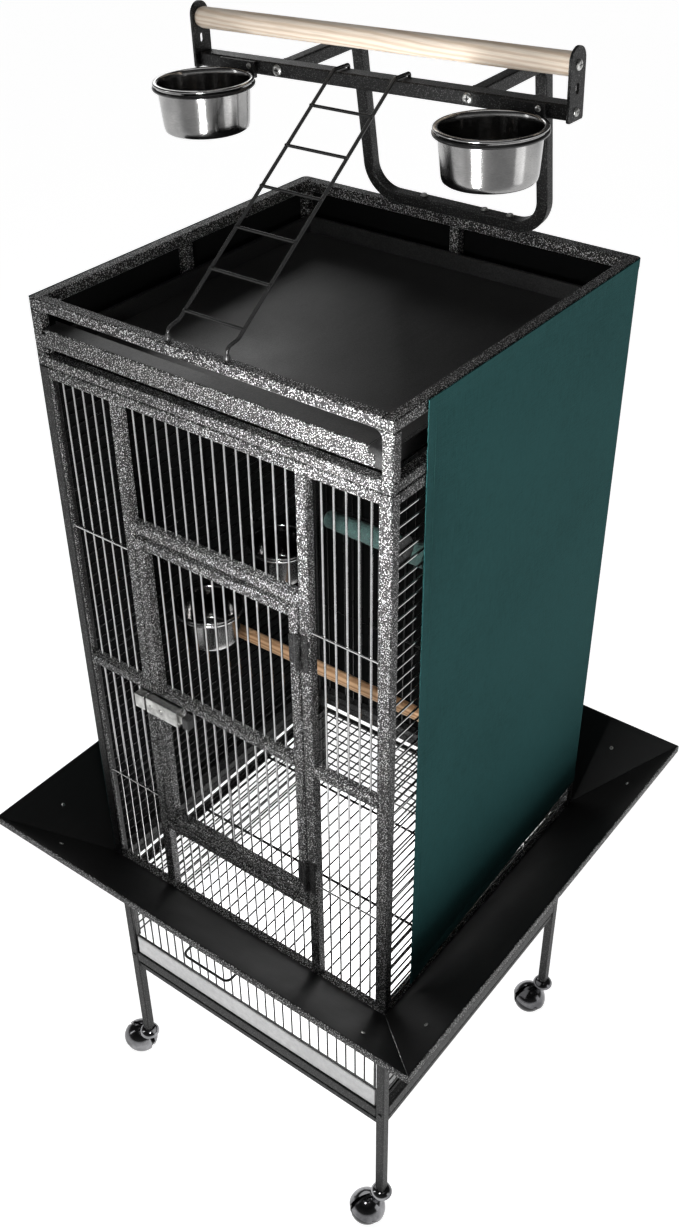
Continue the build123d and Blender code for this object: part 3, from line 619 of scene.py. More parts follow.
g = Build()
for a, b, c_, e in ((-IW, IW, IW - 8, IW), (-IW, IW, -IW, -IW + 8)):
    g.box(a, b, c_, e, Z1 - 12, Z1 - 4, c=0.7)
for s in (-1, 1):
    g.box(s * IW, s * (IW - 8), -IW + 8, IW - 8, Z1 - 12, Z1 - 4, c=0.7)
for x in even(-IW + 8, IW - 8, PITCH):
    g.wire((x, -IW + 6, Z1 - 6), (x, IW - 6, Z1 - 6))
for y in (-70.0, 70.0):
    g.wire((-IW + 6, y, Z1 - 8.6), (IW - 6, y, Z1 - 8.6))
g.make("roof_grille", SHADED_FRAME_MATS, "cage", ["roof_panel"])


def weld_beads(g, x, y, z, ax, m=1):
    g.lathe([(0, -1.1), (1.3, -0.7), (1.9, 0.0), (1.3, 0.7), (0, 1.1)], (x, y, z), ax, n=8, m=m)


def front_side(s, name, nd):
    g = Build()
    g.box(s * STILE, s * (STILE + T), -HW, -IW, Z0, Z1, c=1.1)
    for z in (Z0, 793.0, Z1 - T):
        g.box(s * (STILE + T), s * IW, -HW, -IW, z, z + T, c=1.1)
    g.box(s * (IW - 3), s * IW, YM - 5.3, YM - 1.4, Z0 + 2, Z1 - 2, c=0.4)
    xs = even(STILE + T, IW, 14.6)
    for x in xs:
        g.wire((s * x, YM, Z0 + T - 1), (s * x, YM, Z1 - T + 1))
    for z in (614.0, 990.0):
        g.wire((s * (STILE + T - 1), YM - 2.6, z), (s * (IW - 1), YM - 2.6, z))
        for x in xs:
            g.lathe([(0, -1.0), (1.0, -0.8), (1.35, 0), (1.0, 0.8), (0, 1.0)], (s * x, YM - 1.3, z), (0, 1, 0), n=6, m=1)
    g.make(name, FRAME, "cage", [nd])


front_side(-1, "front_grille_left", "front_left_grille")
front_side(1, "front_grille_right", "front_right_grille")
g = Build()
g.box(-STILE, STILE, -HW, -IW, Z1 - T, Z1, c=1.1)
g.box(-STILE, STILE, -HW, -IW, 1020.5, 1020.5 + T, c=1.1)
for x in even(-STILE, STILE, 15.4):
    g.wire((x, YM, 1020.5 + T - 1), (x, YM, Z1 - T + 1))
g.make("front_grille_top", FRAME, "cage", ["front_top_grille"])
g = Build()
g.box(-STILE, STILE, -HW, -IW, Z0, Z0 + T, c=1.1)
g.box(-STILE, STILE, -HW, -IW, 567.3, 580.0, c=1.1)
for x in even(-STILE, STILE, 15.4):
    g.wire((x, YM, Z0 + T - 1), (x, YM, 568.3))
g.make("front_grille_bottom", FRAME, "cage", ["front_bottom_grille"])

# ------------------------------------------------------------------ door
g = Build()
g.box(-DOOR, -DOOR + T, -HW, -IW, 585.0, 1014.0, c=1.1)
g.box(DOOR - T, DOOR, -HW, -IW, 585.0, 1014.0, c=1.1)
for z in (585.0, 793.0, 1014.0 - T):
    g.box(-DOOR + T, DOOR - T, -HW, -IW, z, z + T, c=1.1)
for x in even(-DOOR + T, DOOR - T, 15.5):
    g.wire((x, YM, 585.0 + T - 1), (x, YM, 1014.0 - T + 1))
HX, HY = 114.5, -232.0
for hz in (628.0, 962.0):
    g.box(DOOR - 12, DOOR - 2.6, -HW - 1.5, -HW + 0.5, hz - 18, hz + 18, c=0.3, m=2)
    g.box(HX - 3.0, HX - 1.0, HY, -HW + 0.2, hz - 9, hz + 9, c=0.2, m=2)
    g.lathe([(1.6, -9), (3.0, -9), (3.3, -8.6), (3.3, 8.6), (3.0, 9), (1.6, 9)], (HX, HY, hz), n=28, m=2)
    for dz in (-12, 12):
        g.lathe([(0, 1.0), (1.0, 0.85), (1.7, 0.3), (1.8, 0.0)], (DOOR - 7.5, -HW - 1.5, hz + dz), (0, -1, 0), n=16, m=2)
g.make("front_door", FRAME, "door", ["door"])
g = Build()
for hz in (628.0, 962.0):
    g.box(HX + 3.6, STILE + 11, -HW - 1.5, -HW + 0.0, hz - 24, hz + 24, c=0.3, m=2)
    for a, b in ((9.4, 22.0), (-22.0, -9.4)):
        g.lathe([(1.6, a), (3.0, a), (3.3, a + 0.4), (3.3, b - 0.4), (3.0, b), (1.6, b)], (HX, HY, hz), n=28, m=2)
        g.box(HX + 1.0, HX + 4.0, HY, -HW - 0.0, hz + min(a, b), hz + max(a, b), c=0.2, m=2)
    g.lathe([(0, -23.2), (1.5, -23.2), (1.5, 22.6), (2.2, 22.8), (2.2, 23.3), (1.4, 23.9), (0, 24.0)], (HX, HY, hz), n=24, m=2)
    for dz in (-16, 16):
        g.lathe([(0, 1.0), (1.0, 0.85), (1.7, 0.3), (1.8, 0.0)], (STILE + 7.4, -HW - 1.5, hz + dz), (0, -1, 0), n=16, m=2)
g.make("hinges", FRAME, "cage", ["door_hinges"])

# latch
LY0, LY1, LZ0, LZ1 = -HW - 14, -HW, 774.0, 796.0
g = Build()
g.box(-113, -64, LY0, LY0 + 3.5, LZ0, LZ1, c=0.9)
g.box(-113, -64, LY0 + 9.5, LY1, LZ0, LZ1, c=0.5)
g.box(-113, -64, LY0 + 0.6, LY1 - 0.4, LZ0, LZ0 + 5, c=0.6)
g.box(-113, -64, LY0 + 0.6, LY1 - 0.4, LZ1 - 5, LZ1, c=0.6)
for x in (-106, -90):
    g.lathe([(0, 1.5), (1.6, 1.35), (2.7, 0.7), (3.1, 0.0)], (x, LY0, (LZ0 + LZ1) / 2), (0, -1, 0), n=24)
g.make("latch_body", [M_ZINC], "door", ["latch_housing"])
g = Build()
g.box(-131, -116, LY0, LY0 + 3, LZ0 + 1, LZ1 - 1, c=0.5)
g.box(-131, -116, LY0 + 10, LY1, LZ0 + 1, LZ1 - 1, c=0.5)
g.box(-131, -116, LY0 + 0.5, LY1 - 0.5, LZ0 + 1, LZ0 + 4.5, c=0.5)
g.box(-131, -116, LY0 + 0.5, LY1 - 0.5, LZ1 - 4.5, LZ1 - 1, c=0.5)
g.make("latch_catch", [M_ZINC], "cage", ["latch_keeper"])
g = Build()
g.box(-112.8, -57, LY0 + 4, LY0 + 9, LZ0 + 5.5, LZ1 - 5.5, c=0.5)
g.box(-57.3, -46, LY0 + 1, LY0 + 12, LZ0 + 3, LZ1 - 3, c=2.0, m=1)
for k in range(4):
    g.box(-55.8 + k * 2.6, -54.6 + k * 2.6, LY0 + 0.7, LY0 + 12.3, LZ0 + 2.7, LZ1 - 2.7, c=0.4, m=1)
g.make("latch_slider", [M_ZINC, M_KNOB], "latch_bolt", ["latch_bolt"])

# ------------------------------------------------------------------ play top frame
for s, nm in ((-1, "left"), (1, "right")):
    g = Build()
    g.box(s * HW, s * IW, -HW, HW, ZT - T, ZT, c=1.1)
    g.box(s * HW, s * IW, -HW, HW, Z1 + 1.1, Z1 + T, c=1.1)
    for y0, y1 in ((-HW, -IW), (-T / 2, T / 2), (IW, HW)):
        g.box(s * HW, s * IW, y0, y1, Z1 + T, ZT - T, c=1.1)
    g.make("play_frame_" + nm, FRAME, "cage", ["playtop_" + nm])
g = Build()
g.box(-IW, IW, IW, HW, Z1 + 1.1, Z1 + T, c=1.1)
g.box(-IW, IW, IW, HW, ZT - T, ZT, c=1.1)
g.box(-6.35, 6.35, IW, HW, Z1 + T, ZT - T, c=1.1)
g.make("play_frame_rear", FRAME, "cage", ["playtop_rear"])
g = Build()
g.box(-IW, IW, -HW, -IW, Z1 + 1.1, Z1 + T, c=1.1)
g.box(-IW, IW, -HW, -IW, ZT - T, ZT, c=1.1)
for s in (-1, 1):  # rounded slot ends
    for z0, z1 in ((Z1 + T, 0), (ZT - T, 1)):
        cx, r = s * IW, (9.0 if z1 else 5.8)  # the tray passes close to the lower corners
        cz = z0 + (r if z1 == 0 else -r)
        pts = [(cx, -HW + 0.6, z0)]
        for k in range(7):
            a = math.pi / 2 * k / 6
            px = cx - s * (r - r * math.sin(a))
            pz = cz - (r * math.cos(a)) * (1 if z1 == 0 else -1)
            pts.append((px, -HW + 0.6, pz))
        m_ = len(pts)
        vs = pts + [(x, y + 1.6, z) for x, y, z in pts]
        fs = [tuple(range(m_)), tuple(range(m_, 2 * m_))[::-1]] + [(k, (k + 1) % m_, (k + 1) % m_ + m_, k + m_) for k in range(m_)]
        if (s > 0) == (z1 == 0):
            fs = [f[::-1] for f in fs]
        g.add(vs, fs, 0)
g.make("play_frame_front", FRAME, "cage", ["playtop_front"])

# play tray
PW, PZ, PY0, PY1 = 210.0, Z1 + T + 0.4, -IW + 2.5, IW - 3.5
g = Build()
n_ = 22
vs, fs = [], []
for lvl, dz in ((0, 1.5), (1, 0.0)):
    for i in range(n_ + 1):
        for j in range(n_ + 1):
            x = -PW + 0.6 + (2 * PW - 1.2) * i / n_
            y = PY0 + 0.6 + (PY1 - PY0 - 1.2) * j / n_
            u, v = abs(2 * i / n_ - 1), abs(2 * j / n_ - 1)
            wob = 0.4 * (1 - u ** 4) * (1 - v ** 4) * (0.5 + 0.5 * noise.noise(Vector((x / 90, y / 90, 3.7))))
            vs.append((x, y, PZ + dz + wob))
for i in range(n_):
    for j in range(n_):
        a = i * (n_ + 1) + j
        fs.append((a, a + n_ + 1, a + n_ + 2, a + 1))
        b = a + (n_ + 1) ** 2
        fs.append((b, b + 1, b + n_ + 2, b + n_ + 1))
g.add(vs, fs, 0)
g.box(-PW, PW, PY1 - 1.5, PY1, PZ, PZ + 21, c=0.5)
g.box(-PW, -PW + 1.5, PY0, PY1, PZ, PZ + 21, c=0.5)
g.box(PW - 1.5, PW, PY0, PY1, PZ, PZ + 21, c=0.5)
g.box(-PW, PW, PY0, PY0 + 1.5, PZ, PZ + 35, c=0.5)
# front lip: a dark shelf, then a folded hammertone face that starts a little further in
g.box(-205, 205, -HW - 4.2, PY0 + 1.5, PZ + 33.5, PZ + 35, c=0.5, m=0)
g.box(-205, 205, -HW - 5, -HW - 2.6, PZ + 29.5, PZ + 35, c=0.9, m=1)
g.box(-212, 212, -HW - 5, -HW - 3.5, PZ + 14, PZ + 28, c=0.6, m=1)
g.box(-204, 204, -HW - 5, -HW - 3.5, PZ + 27, PZ + 31, c=0.4, m=1)
# painted shade: the turned rims take the dimmed hammertone, while the front face takes the lit copy
# turned rims on the other three walls
g.box(-PW - 4.3, -PW + 1.5, PY0, PY1 + 2.8, PZ + 19.5, PZ + 21, c=0.6, m=2)
g.box(PW - 1.5, PW + 4.3, PY0, PY1 + 2.8, PZ + 19.5, PZ + 21, c=0.6, m=2)
g.box(-PW - 4.3, PW + 4.3, PY1 - 1.5, PY1 + 2.8, PZ + 19.5, PZ + 21, c=0.6, m=2)
g.make("play_tray_pan", [M_TRAY, M_HAMMER, M_HAMMER_SHADED], "play_tray", ["play_tray"])

# ------------------------------------------------------------------ play stand
BY0, BY1, BZ0, BZ1, BH = 46.5, 65.5, 1439.2, 1453.2, 224.0
BM, PERCH_Z, APEX = 54.0, 1486.9, 1502.9
ARM_Z = (BZ0 + BZ1) / 2
LEAN = math.radians(2.0)


def lean(g):
    """The bar and what hangs on it lean a little, right end up."""
    c, s_ = math.cos(LEAN), math.sin(LEAN)
    g.v = [(x * c - (z - BZ1) * s_, y, BZ1 + x * s_ + (z - BZ1) * c) for x, y, z in g.v]


g = Build()
g.box(-BH, BH, BY0, BY1, BZ0, BZ1, c=1.3)
lean(g)
g.make("stand_crossbar", SHADED_FRAME_MATS, "cage", ["crossbar"])
g = Build()
for s in (-1, 1):
    xa, xb = sorted((s * BH, s * (BH + 3)))
    out = []
    zc, r = APEX - 13.0, 13.0
    out += [(BM - 13 + 1.5, BZ0 - 1), (BM - 13, BZ0 + 0.5)]
    for k in range(17):
        a = math.pi - math.pi * k / 16
        out.append((BM + r * math.cos(a), zc + r * math.sin(a)))
    out += [(BM + 13, BZ0 + 0.5), (BM + 13 - 1.5, BZ0 - 1)]
    hole = []
    for k in range(20):
        a = 2 * math.pi * k / 20
        hole.append((BM + 3.0 * math.cos(a), 1466.5 + (4.0 if math.sin(a) > 0 else -4.0) * 0.5 + 3.0 * math.sin(a)))
    bm = bmesh.new()
    ov = [bm.verts.new((xa, y, z)) for y, z in out]
    hv = [bm.verts.new((xa, y, z)) for y, z in hole]
    for lst in (ov, hv):
        for k in range(len(lst)):
            bm.edges.new((lst[k], lst[(k + 1) % len(lst)]))
    res = bmesh.ops.triangle_fill(bm, use_beauty=True, use_dissolve=False, edges=bm.edges[:])
    faces = [f for f in res["geom"] if isinstance(f, bmesh.types.BMFace)]
    ext = bmesh.ops.extrude_face_region(bm, geom=faces)
    for v in [e for e in ext["geom"] if isinstance(e, bmesh.types.BMVert)]:
        v.co.x = xb
    bmesh.ops.recalc_face_normals(bm, faces=bm.faces[:])
    bm.verts.ensure_lookup_table()
    g.add([tuple(v.co) for v in bm.verts], [tuple(v.index for v in f.verts) for f in bm.faces], 0)
    bm.free()
lean(g)
g.make("stand_end_plates", [M_HAMMER_SHADED], "cage", ["end_plates"], sharp=35.0)

# arched tube, square with soft corners, and its two arms
g = Build()
U, UY, UZ, UTY = 116.0, 219.0, ZT + 7.5, 188.0
leg_d = Vector((0, UY - UTY, UZ - (ARM_Z + 5.0))).normalized()
leg_n = (0, -leg_d.z, leg_d.y)
for s in (-1, 1):
    za = ARM_Z + s * U * math.tan(LEAN)
    mid = (s * U, (UTY + UY) / 2, (za + 5.0 + UZ) / 2)
    g.sweep(fillet([(s * U, BY1 + 0.1, za), (s * U, UTY, za + 5.0), mid], 17.0, seg=10), 7.0, square=True, up=(1, 0, 0))
    g.box(s * U - 7.3, s * U + 7.3, BY1 + 0.1, BY1 + 2.2, za - 7.1, za + 7.1, c=0.8, m=2)
zl, zr = [(ARM_Z + s * U * math.tan(LEAN) + 5.0 + UZ) / 2 for s in (-1, 1)]
path = fillet([(-U, (UTY + UY) / 2, zl), (-U, UY, UZ), (U, UY, UZ), (U, (UTY + UY) / 2, zr)], 36.0, seg=14)
g.sweep(path, 6.95, square=True, up=leg_n)
g.make("stand_arch", SHADED_FRAME_MATS, "cage", ["playstand_tube"])


def perch(name, nd, x0, x1, y, z, r, mt, seed, leaning=False):
    g = Build()
    n, rows = 40, 90
    vs, fs = [], []
    for i in range(rows + 1):
        f = i / rows
        x = x0 + (x1 - x0) * f
        for k in range(n):
            a = 2 * math.pi * k / n
            rr = r * (0.985 + 0.012 * noise.noise(Vector((x / 70, math.cos(a) * 1.2, math.sin(a) * 1.2 + seed))))
            e = min(f, 1 - f) * (x1 - x0)
            if e < 1.6:
                rr -= (1.6 - e) * 0.9
            vs.append((x, y + rr * math.cos(a), z + rr * math.sin(a)))
    for i in range(rows):
        for k in range(n):
            a, b = i * n + k, i * n + (k + 1) % n
            fs.append((a, a + n, b + n, b))
    for base, xx, flip in ((0, x0, False), (rows * n, x1, True)):
        c = len(vs)
        vs.append((xx, y, z))
        for k in range(n):
            a, b = base + k, base + (k + 1) % n
            fs.append((c, a, b) if not flip else (c, b, a))
    g.add(vs, fs)
    if leaning:
        lean(g)
    return g.make(name, [mt], "cage", [nd], weighted=False, sharp=40.0)


perch("perch_top", "play_perch", -BH, BH, BM, PERCH_Z, 10.8, M_PINE, 1.0, True)
PZ_IN = SIDE_Z[15] + PITCH / 2
perch("perch_inside", "inner_perch", -IW - 3, IW + 3, 20.0, PZ_IN, 9.0, M_PINE_SHADED, 5.0)

# mineral perch: rough, tapered
g = Build()
MZ = SIDE_Z[40] + PITCH / 2
MY = -152.5
n, rows = 36, 60
vs, fs = [], []
for i in range(rows + 1):
    f = i / rows
    x = IW + 3 - 126.0 * f
    for k in range(n):
        a = 2 * math.pi * k / n
        rr = (12.3 - 3.0 * f) * (0.97 + 0.035 * noise.noise(Vector((x / 9, math.cos(a) * 2, math.sin(a) * 2))))
        e = (1 - f) * 126.0
        if e < 6:
            rr *= math.sqrt(max(0.02, 1 - ((6 - e) / 6) ** 2))
        vs.append((x, MY + rr * math.cos(a), MZ + rr * math.sin(a)))
for i in range(rows):
    for k in range(n):
        a, b = i * n + k, i * n + (k + 1) % n
        fs.append((a, b, b + n, a + n))
fs.append(tuple(range(n))[::-1])
fs.append(tuple(range(rows * n, rows * n + n)))
g.add(vs, fs)
g.make("perch_mineral", [M_GRIT], "cage", ["mineral_perch"], weighted=False)

# ------------------------------------------------------------------ ladder
g = Build()
fy, fz = -222.0, ZT + 2.2
rungs = [[], []]
for i, x in enumerate((-40.0, 34.5)):
    hz_ = BZ1 + x * math.tan(LEAN) + 2.6
    th = math.atan2(hz_ - fz, BY0 - 3.2 - fy)
    g.sweep(fillet([(x, fy, fz - 0.6), (x, fy + 1.6, fz + 10.0), (x, fy + 22 * math.cos(th), fz + 22 * math.sin(th)), (x, BY0 - 3.2, hz_), (x, BY1 + 2.6, hz_), (x, BY1 + 2.6, hz_ - 8.6)], [6.0, 12.0, 2.2, 2.2], seg=5), 1.9, n=12, m=0)
    g.lathe([(0, -1.9), (2.4, -1.9), (3.4, -1.0), (3.4, 1.2), (2.6, 3.4), (1.9, 5.0)], (x, fy, fz), (0, 0.12, 1), n=20, m=2)
    for k in range(6):
        d = 31.9 + 49.7 * k
        rungs[i].append((fy + d * math.cos(th), fz + d * math.sin(th)))
for (ya, za), (yb, zb) in zip(*rungs):
    g.sweep([(-41.6, ya, za + 0.6), (36.1, yb, zb + 0.6)], 1.65, n=12, m=0)
    weld_beads(g, -40.0, ya, za + 0.6, (1, 0, 0), m=0)
    weld_beads(g, 34.5, yb, zb + 0.6, (1, 0, 0), m=0)
g.make("ladder_wire", [M_WIRE_SHADED, M_WIRE_SHADED, M_KNOB], "ladder", ["ladder"], sharp=60.0)


# ------------------------------------------------------------------ cups
def cup(name, body, cx, cy, rim, rt, rb, h, rr, inner):
    g = Build()
    zb = rim - h
    prof = [(0, zb + 0.5), (rb - 12, zb + 0.3), (rb - 6, zb), (rb - 3.2, zb + 0.5), (rb - 1.2, zb + 2.0), (rb - 0.3, zb + 4.6)]
    for k in range(1, 12):
        f = k / 12
        prof.append((rb + (rt - rb) * f, zb + 5 + (h - 9) * f))
    prof += [(rt + 0.1, rim - 3.4), (rt + 1.0, rim - 3.0), (rr - 1.0, rim - 2.9), (rr - 0.2, rim - 2.3), (rr, rim - 1.5), (rr - 0.3, rim - 0.6), (rr - 1.2, rim - 0.05), (rt + 0.9, rim - 0.05), (rt - 0.4, rim - 0.6), (rt - 1.0, rim - 1.8)]
    for k in range(11, 0, -1):
        f = k / 12
        prof.append((rb - 1 + (rt - rb) * f, zb + 5 + (h - 8) * f))
    prof += [(rb - 1.3, zb + 4.8), (rb - 2.4, zb + 2.8), (rb - 4.6, zb + 1.5), (rb - 7, zb + 1.1), (0, zb + 1.5)]
    g.lathe(prof, (cx, cy, 0), n=96)
    if not inner:
        lean(g)
    g.make(name, [M_STEEL], body, [body], weighted=False, sharp=70.0)


cup("cup_steel_left", "cup_left", -167.5, -11.0, 1444.5, 48.3, 45.0, 50.0, 52.6, False)
cup("cup_steel_right", "cup_right", 177.4, -11.0, 1444.5, 48.3, 45.0, 50.0, 52.6, False)
INNER = (("front", -62.0, 803.0), ("rear", 84.0, 822.0))
for nm, cy, rim in INNER:
    cup("cup_steel_inside_" + nm, "inner_cup_" + nm, -172.0, cy, rim, 40.4, 37.5, 52.0, 44.6, True)


def torus_wire(g, cx, cy, z, r, w, m=0, n=72):
    prof = [(r + w * math.cos(2 * math.pi * k / 12), z + w * math.sin(2 * math.pi * k / 12)) for k in range(13)]
    g.lathe(prof, (cx, cy, 0), n=n, m=m)


for nm, cx in (("left", -167.5), ("right", 177.4)):
    g = Build()
    torus_wire(g, cx, -11.0, 1444.5 - 5.7, 51.5, 1.9, m=1)
    g.box(cx - 24, cx + 24, BY0 - 4.6, BY0 + 0.0, BZ0 - 3, BZ1 - 1, c=0.6, m=2)
    for dx in (-7, 7):
        weld_beads(g, cx + dx, BY0 - 5.3, 1444.5 - 5.7, (1, 0, 0), m=2)
    lean(g)
    g.make("cup_holder_" + nm, [M_HAMMER_SHADED, M_WIRE_SHADED, M_HAMMER_SHADED, M_ZINC], "cage", ["cup_ring_" + nm])
g = Build()
for nm, cy, rim in INNER:
    torus_wire(g, -172.0, cy, rim - 5.7, 43.4, 1.9, m=1)
    g.box(-IW - 4.6, -172 - 42.0, cy - 7, cy + 7, rim - 16, rim - 3.9, c=0.6, m=2)
g.make("cup_holders_inside", FRAME, "cage", ["inner_cup_rings"])

# ------------------------------------------------------------------ litter tray, grate
g = Build()
TW, TY0, TY1, TZ, TH = IW - 2.8, -HW + 2.5, IW - 4, 250.3, 34.0
g.box(-TW, TW, TY0, TY1, TZ, TZ + 1.6, c=0.5)
g.box(-TW, TW, TY0, TY0 + 1.8, TZ, TZ + TH, c=0.7)
g.box(-TW, TW, TY1 - 1.8, TY1, TZ, TZ + TH, c=0.7)
for s in (-1, 1):
    g.box(s * TW, s * (TW - 1.8), TY0, TY1, TZ, TZ + TH, c=0.7)
g.box(-TW + 0.2, TW - 0.2, TY0 + 0.3, TY0 + 5.0, TZ + TH - 1.5, TZ + TH, c=0.5)
g.make("litter_pan", [M_WHITE], "litter_tray", ["litter_tray"])

GW, GY0, GY1, GZ = IW - 2.8, -HW + 6.0, IW - 4, 421.0
g = Build()
g.box(-GW, GW, GY0, GY0 + 5, GZ, GZ + 5, c=0.7)
g.box(-GW, GW, GY1 - 5, GY1, GZ, GZ + 5, c=0.7)
for s in (-1, 1):
    g.box(s * GW, s * (GW - 5), GY0 + 5, GY1 - 5, GZ, GZ + 5, c=0.7)
for y in (-70.0, 70.0):
    g.box(-GW + 1, GW - 1, y - 2, y + 2, GZ, GZ + 1.4, c=0.3, m=1)
for x in even(-GW + 5, GW - 5, PITCH):
    g.wire((x, GY0 + 2, GZ + 2.5), (x, GY1 - 2, GZ + 2.5))
g.make("grate_wires", [M_HAMMER_SHADED, M_WIRE_SHADED], "grate", ["grate_floor"])
g = Build()
FY0, FZ0 = -HW + 2.0, 286.5
g.box(-GW, GW, FY0, FY0 + 3, FZ0, FZ0 + 3, c=0.7, m=1)
g.box(-GW, GW, FY0, FY0 + 3.9, GZ + 1, GZ + 5, c=0.6, m=1)
for x in (-GW, GW - 3):
    g.box(x, x + 3, FY0, FY0 + 3, FZ0, GZ + 5, c=0.6, m=1)
for x in even(-GW + 3, GW - 3, PITCH):
    g.wire((x, FY0 + 1.5, FZ0 + 1), (x, FY0 + 1.5, GZ + 3))
g.make("grate_fence", SHADED_FRAME_MATS, "grate", ["grate_front"])
g = Build()
g.sweep(fillet([(-93, FY0 + 0.4, 356), (-93, FY0 - 24, 356), (-13, FY0 - 24, 356), (-13, FY0 + 0.4, 356)], 9.0, seg=8), 2.0, n=14, m=1)
for x in (-93, -13):
    g.lathe([(2.0, 1.8), (3.0, 1.2), (3.4, 0.0)], (x, FY0, 356), (0, -1, 0), n=18, m=1)
g.make("grate_pull", SHADED_FRAME_MATS, "grate", ["grate_handle"])


# ------------------------------------------------------------------ casters
def caster(tag, cx, cy, ang):
    a = math.radians(ang)
    R = Matrix.Rotation(a, 3, "Z")
    off = Vector((cx, cy, 0))

    def place(g):
        g.v = [tuple(R @ Vector(p) + off) for p in g.v]

    tr, br = 21.0, 24.0
    g = Build()
    # swivel cap with its raceway lip
    g.lathe([(0, 60.8), (6.5, 60.8), (9.5, 60.0), (12.2, 58.0), (14.2, 55.4), (15.0, 53.0), (15.0, 51.6), (14.2, 50.4), (12.0, 49.6), (0, 49.4)], (0, 0, 0), n=64)
    g.lathe([(0, 62.0), (4.0, 62.0), (4.0, 102.0), (0, 102.0)], (0, 0, 0), n=24)
    # hood: a shell over one side of the ball, split at the tread
    prof = []
    for k in range(15):
        t = math.radians(8 + 72 * k / 14)
        prof.append((26.0 * math.cos(t), 26.0 * math.sin(t)))
    inner_p = [(24.7 * math.cos(math.radians(80 - 72 * k / 14)), 24.7 * math.sin(math.radians(80 - 72 * k / 14))) for k in range(15)]
    full = [(p[0], p[1]) for p in prof] + [(q[0], q[1]) for q in inner_p] + [prof[0]]
    for s in (-1, 1):
        pr = [(r, h * s) for r, h in full]
        if s > 0:
            pr = pr[::-1]
        b0 = len(g.v)
        g.lathe(pr, (tr, 0, br), (0, 1, 0), n=40, m=0, x=(0, 0, 1), arc=(math.radians(-112), math.radians(70)))
    web = [(-12, 51.5), (12, 51.5), (26, 47.5), (33, 42), (38.5, 34), (33, 30), (33, 18), (12, 14), (4, 22), (-8, 44)]
    m_ = len(web)
    vs = [(x, -1.9, z) for x, z in web] + [(x, 1.9, z) for x, z in web]
    fs = [tuple(range(m_)), tuple(range(m_, 2 * m_))[::-1]] + [(k, k + m_, (k + 1) % m_ + m_, (k + 1) % m_) for k in range(m_)]
    g.add(vs, fs, 0)
    for s in (-1, 1):
        g.lathe([(2.4, 0), (2.4, 24.2), (1.9, 24.9), (0, 25.2)], (tr, 0, br), (0, s, 0), n=24)
    place(g)
    g.make("caster_hood_" + tag, [M_CHROME], "caster_" + tag, ["caster_fork_" + tag], weighted=False, sharp=45.0)
    g = Build()
    for s in (-1, 1):
        prof = [(2.56, 2.7), (23.2, 2.7)]
        for k in range(15):
            t = math.radians(6.9 + (84 - 6.9) * k / 14)
            prof.append((br * math.cos(t), br * math.sin(t)))
        prof += [(2.56, 23.8), (2.56, 2.7)]
        pr = [(r, h * s) for r, h in prof]
        if s < 0:
            pr = pr[::-1]
        g.lathe(pr, (tr, 0, br), (0, 1, 0), n=64)
    place(g)
    g.make("caster_wheel_" + tag, [M_GUN], "wheel_" + tag, ["caster_ball_" + tag], weighted=False, sharp=45.0)


LC = HW - 6.35
caster("fl", -LC, -LC, 183)
caster("fr", LC, -LC, 235)
caster("rl", -LC, LC, 214)
caster("rr", LC, LC, 232)

# ------------------------------------------------------------------ bolts and screws
g = Build()


def cross_head(p, ax, r, h, m=0):
    """A pan head with a cross recess, drawn as a black block in the top of the head: painted shade."""
    ax = Vector(ax).normalized()
    p = Vector(p)
    g.lathe([(r, 0), (r, h * 0.35), (r * 0.86, h * 0.75), (r * 0.55, h * 0.97), (r * 0.30, h), (0, h * 0.55)], p, ax, n=32, m=m)
    e1 = Vector((1, 0, 0)) if abs(ax.x) < 0.9 else Vector((0, 1, 0))
    e1 = (e1 - ax * e1.dot(ax)).normalized()
    e2 = ax.cross(e1)
    # the cross is a black block, not a cut: painted shade in the recess
    for u, v in ((e1, e2), (e2, e1)):
        w, l = r * 0.11, r * 0.55
        q = [p + ax * (h * 1.0) + u * (sx * l) + v * (sy * w) for sx, sy in ((-1, -1), (1, -1), (1, 1), (-1, 1))]
        q2 = [c - ax * (h * 0.5) for c in q]
        g.add(q + q2, [(0, 1, 2, 3), (0, 4, 5, 1), (1, 5, 6, 2), (2, 6, 7, 3), (3, 7, 4, 0), (7, 6, 5, 4)], 1)


def hex_head(p, ax, r, h, m=0):
    ax = Vector(ax).normalized()
    g.lathe([(r * 1.25, 0), (r * 1.25, h * 0.2), (r * 1.02, h * 0.2)], p, ax, n=32, m=m)
    g.lathe([(r, h * 0.2), (r, h * 0.85), (r * 0.86, h), (0, h)], p, ax, n=6, m=m)


for x in (-U, U):
    cross_head((x, BY0, ARM_Z), (0, -1, 0), 5.5, 2.4)
for x in (-150.5, 194.4):
    cross_head((x, BY0 - 4.6, 1448.0), (0, -1, 0), 3.0, 1.6)
for s in (-1, 1):
    cross_head((s * (BH + 3), BM, PERCH_Z), (s, 0, 0), 5.0, 2.2)
    cross_head((s * (BH + 3), BM, ARM_Z), (s, 0, 0), 4.0, 2.0)
lean(g)
for x in (-45.0, 37.5, 71.0):
    hex_head((x, UY, ZT + 14.9), (0, 0, 1), 3.6, 2.3)
for s in (-1, 1):
    g.sweep([(s * (IW + 3), 20.0, PZ_IN), (s * (HW - 2.6), 20.0, PZ_IN)], 3.0, n=16, m=0)
    g.lathe([(0, 0), (9.4, 0), (10, 0.5), (10, 1.9), (9.4, 2.4), (0, 2.4)], (s * (HW - 2.6), 20.0, PZ_IN), (s, 0, 0), n=40)
g.sweep([(IW + 3, MY, MZ), (HW - 2.4, MY, MZ)], 3.0, n=16, m=0)
g.lathe([(0, 0), (14.2, 0), (15, 0.6), (15, 1.6), (14.2, 2.2), (0, 2.2)], (HW - 2.4, MY, MZ), (1, 0, 0), n=48)
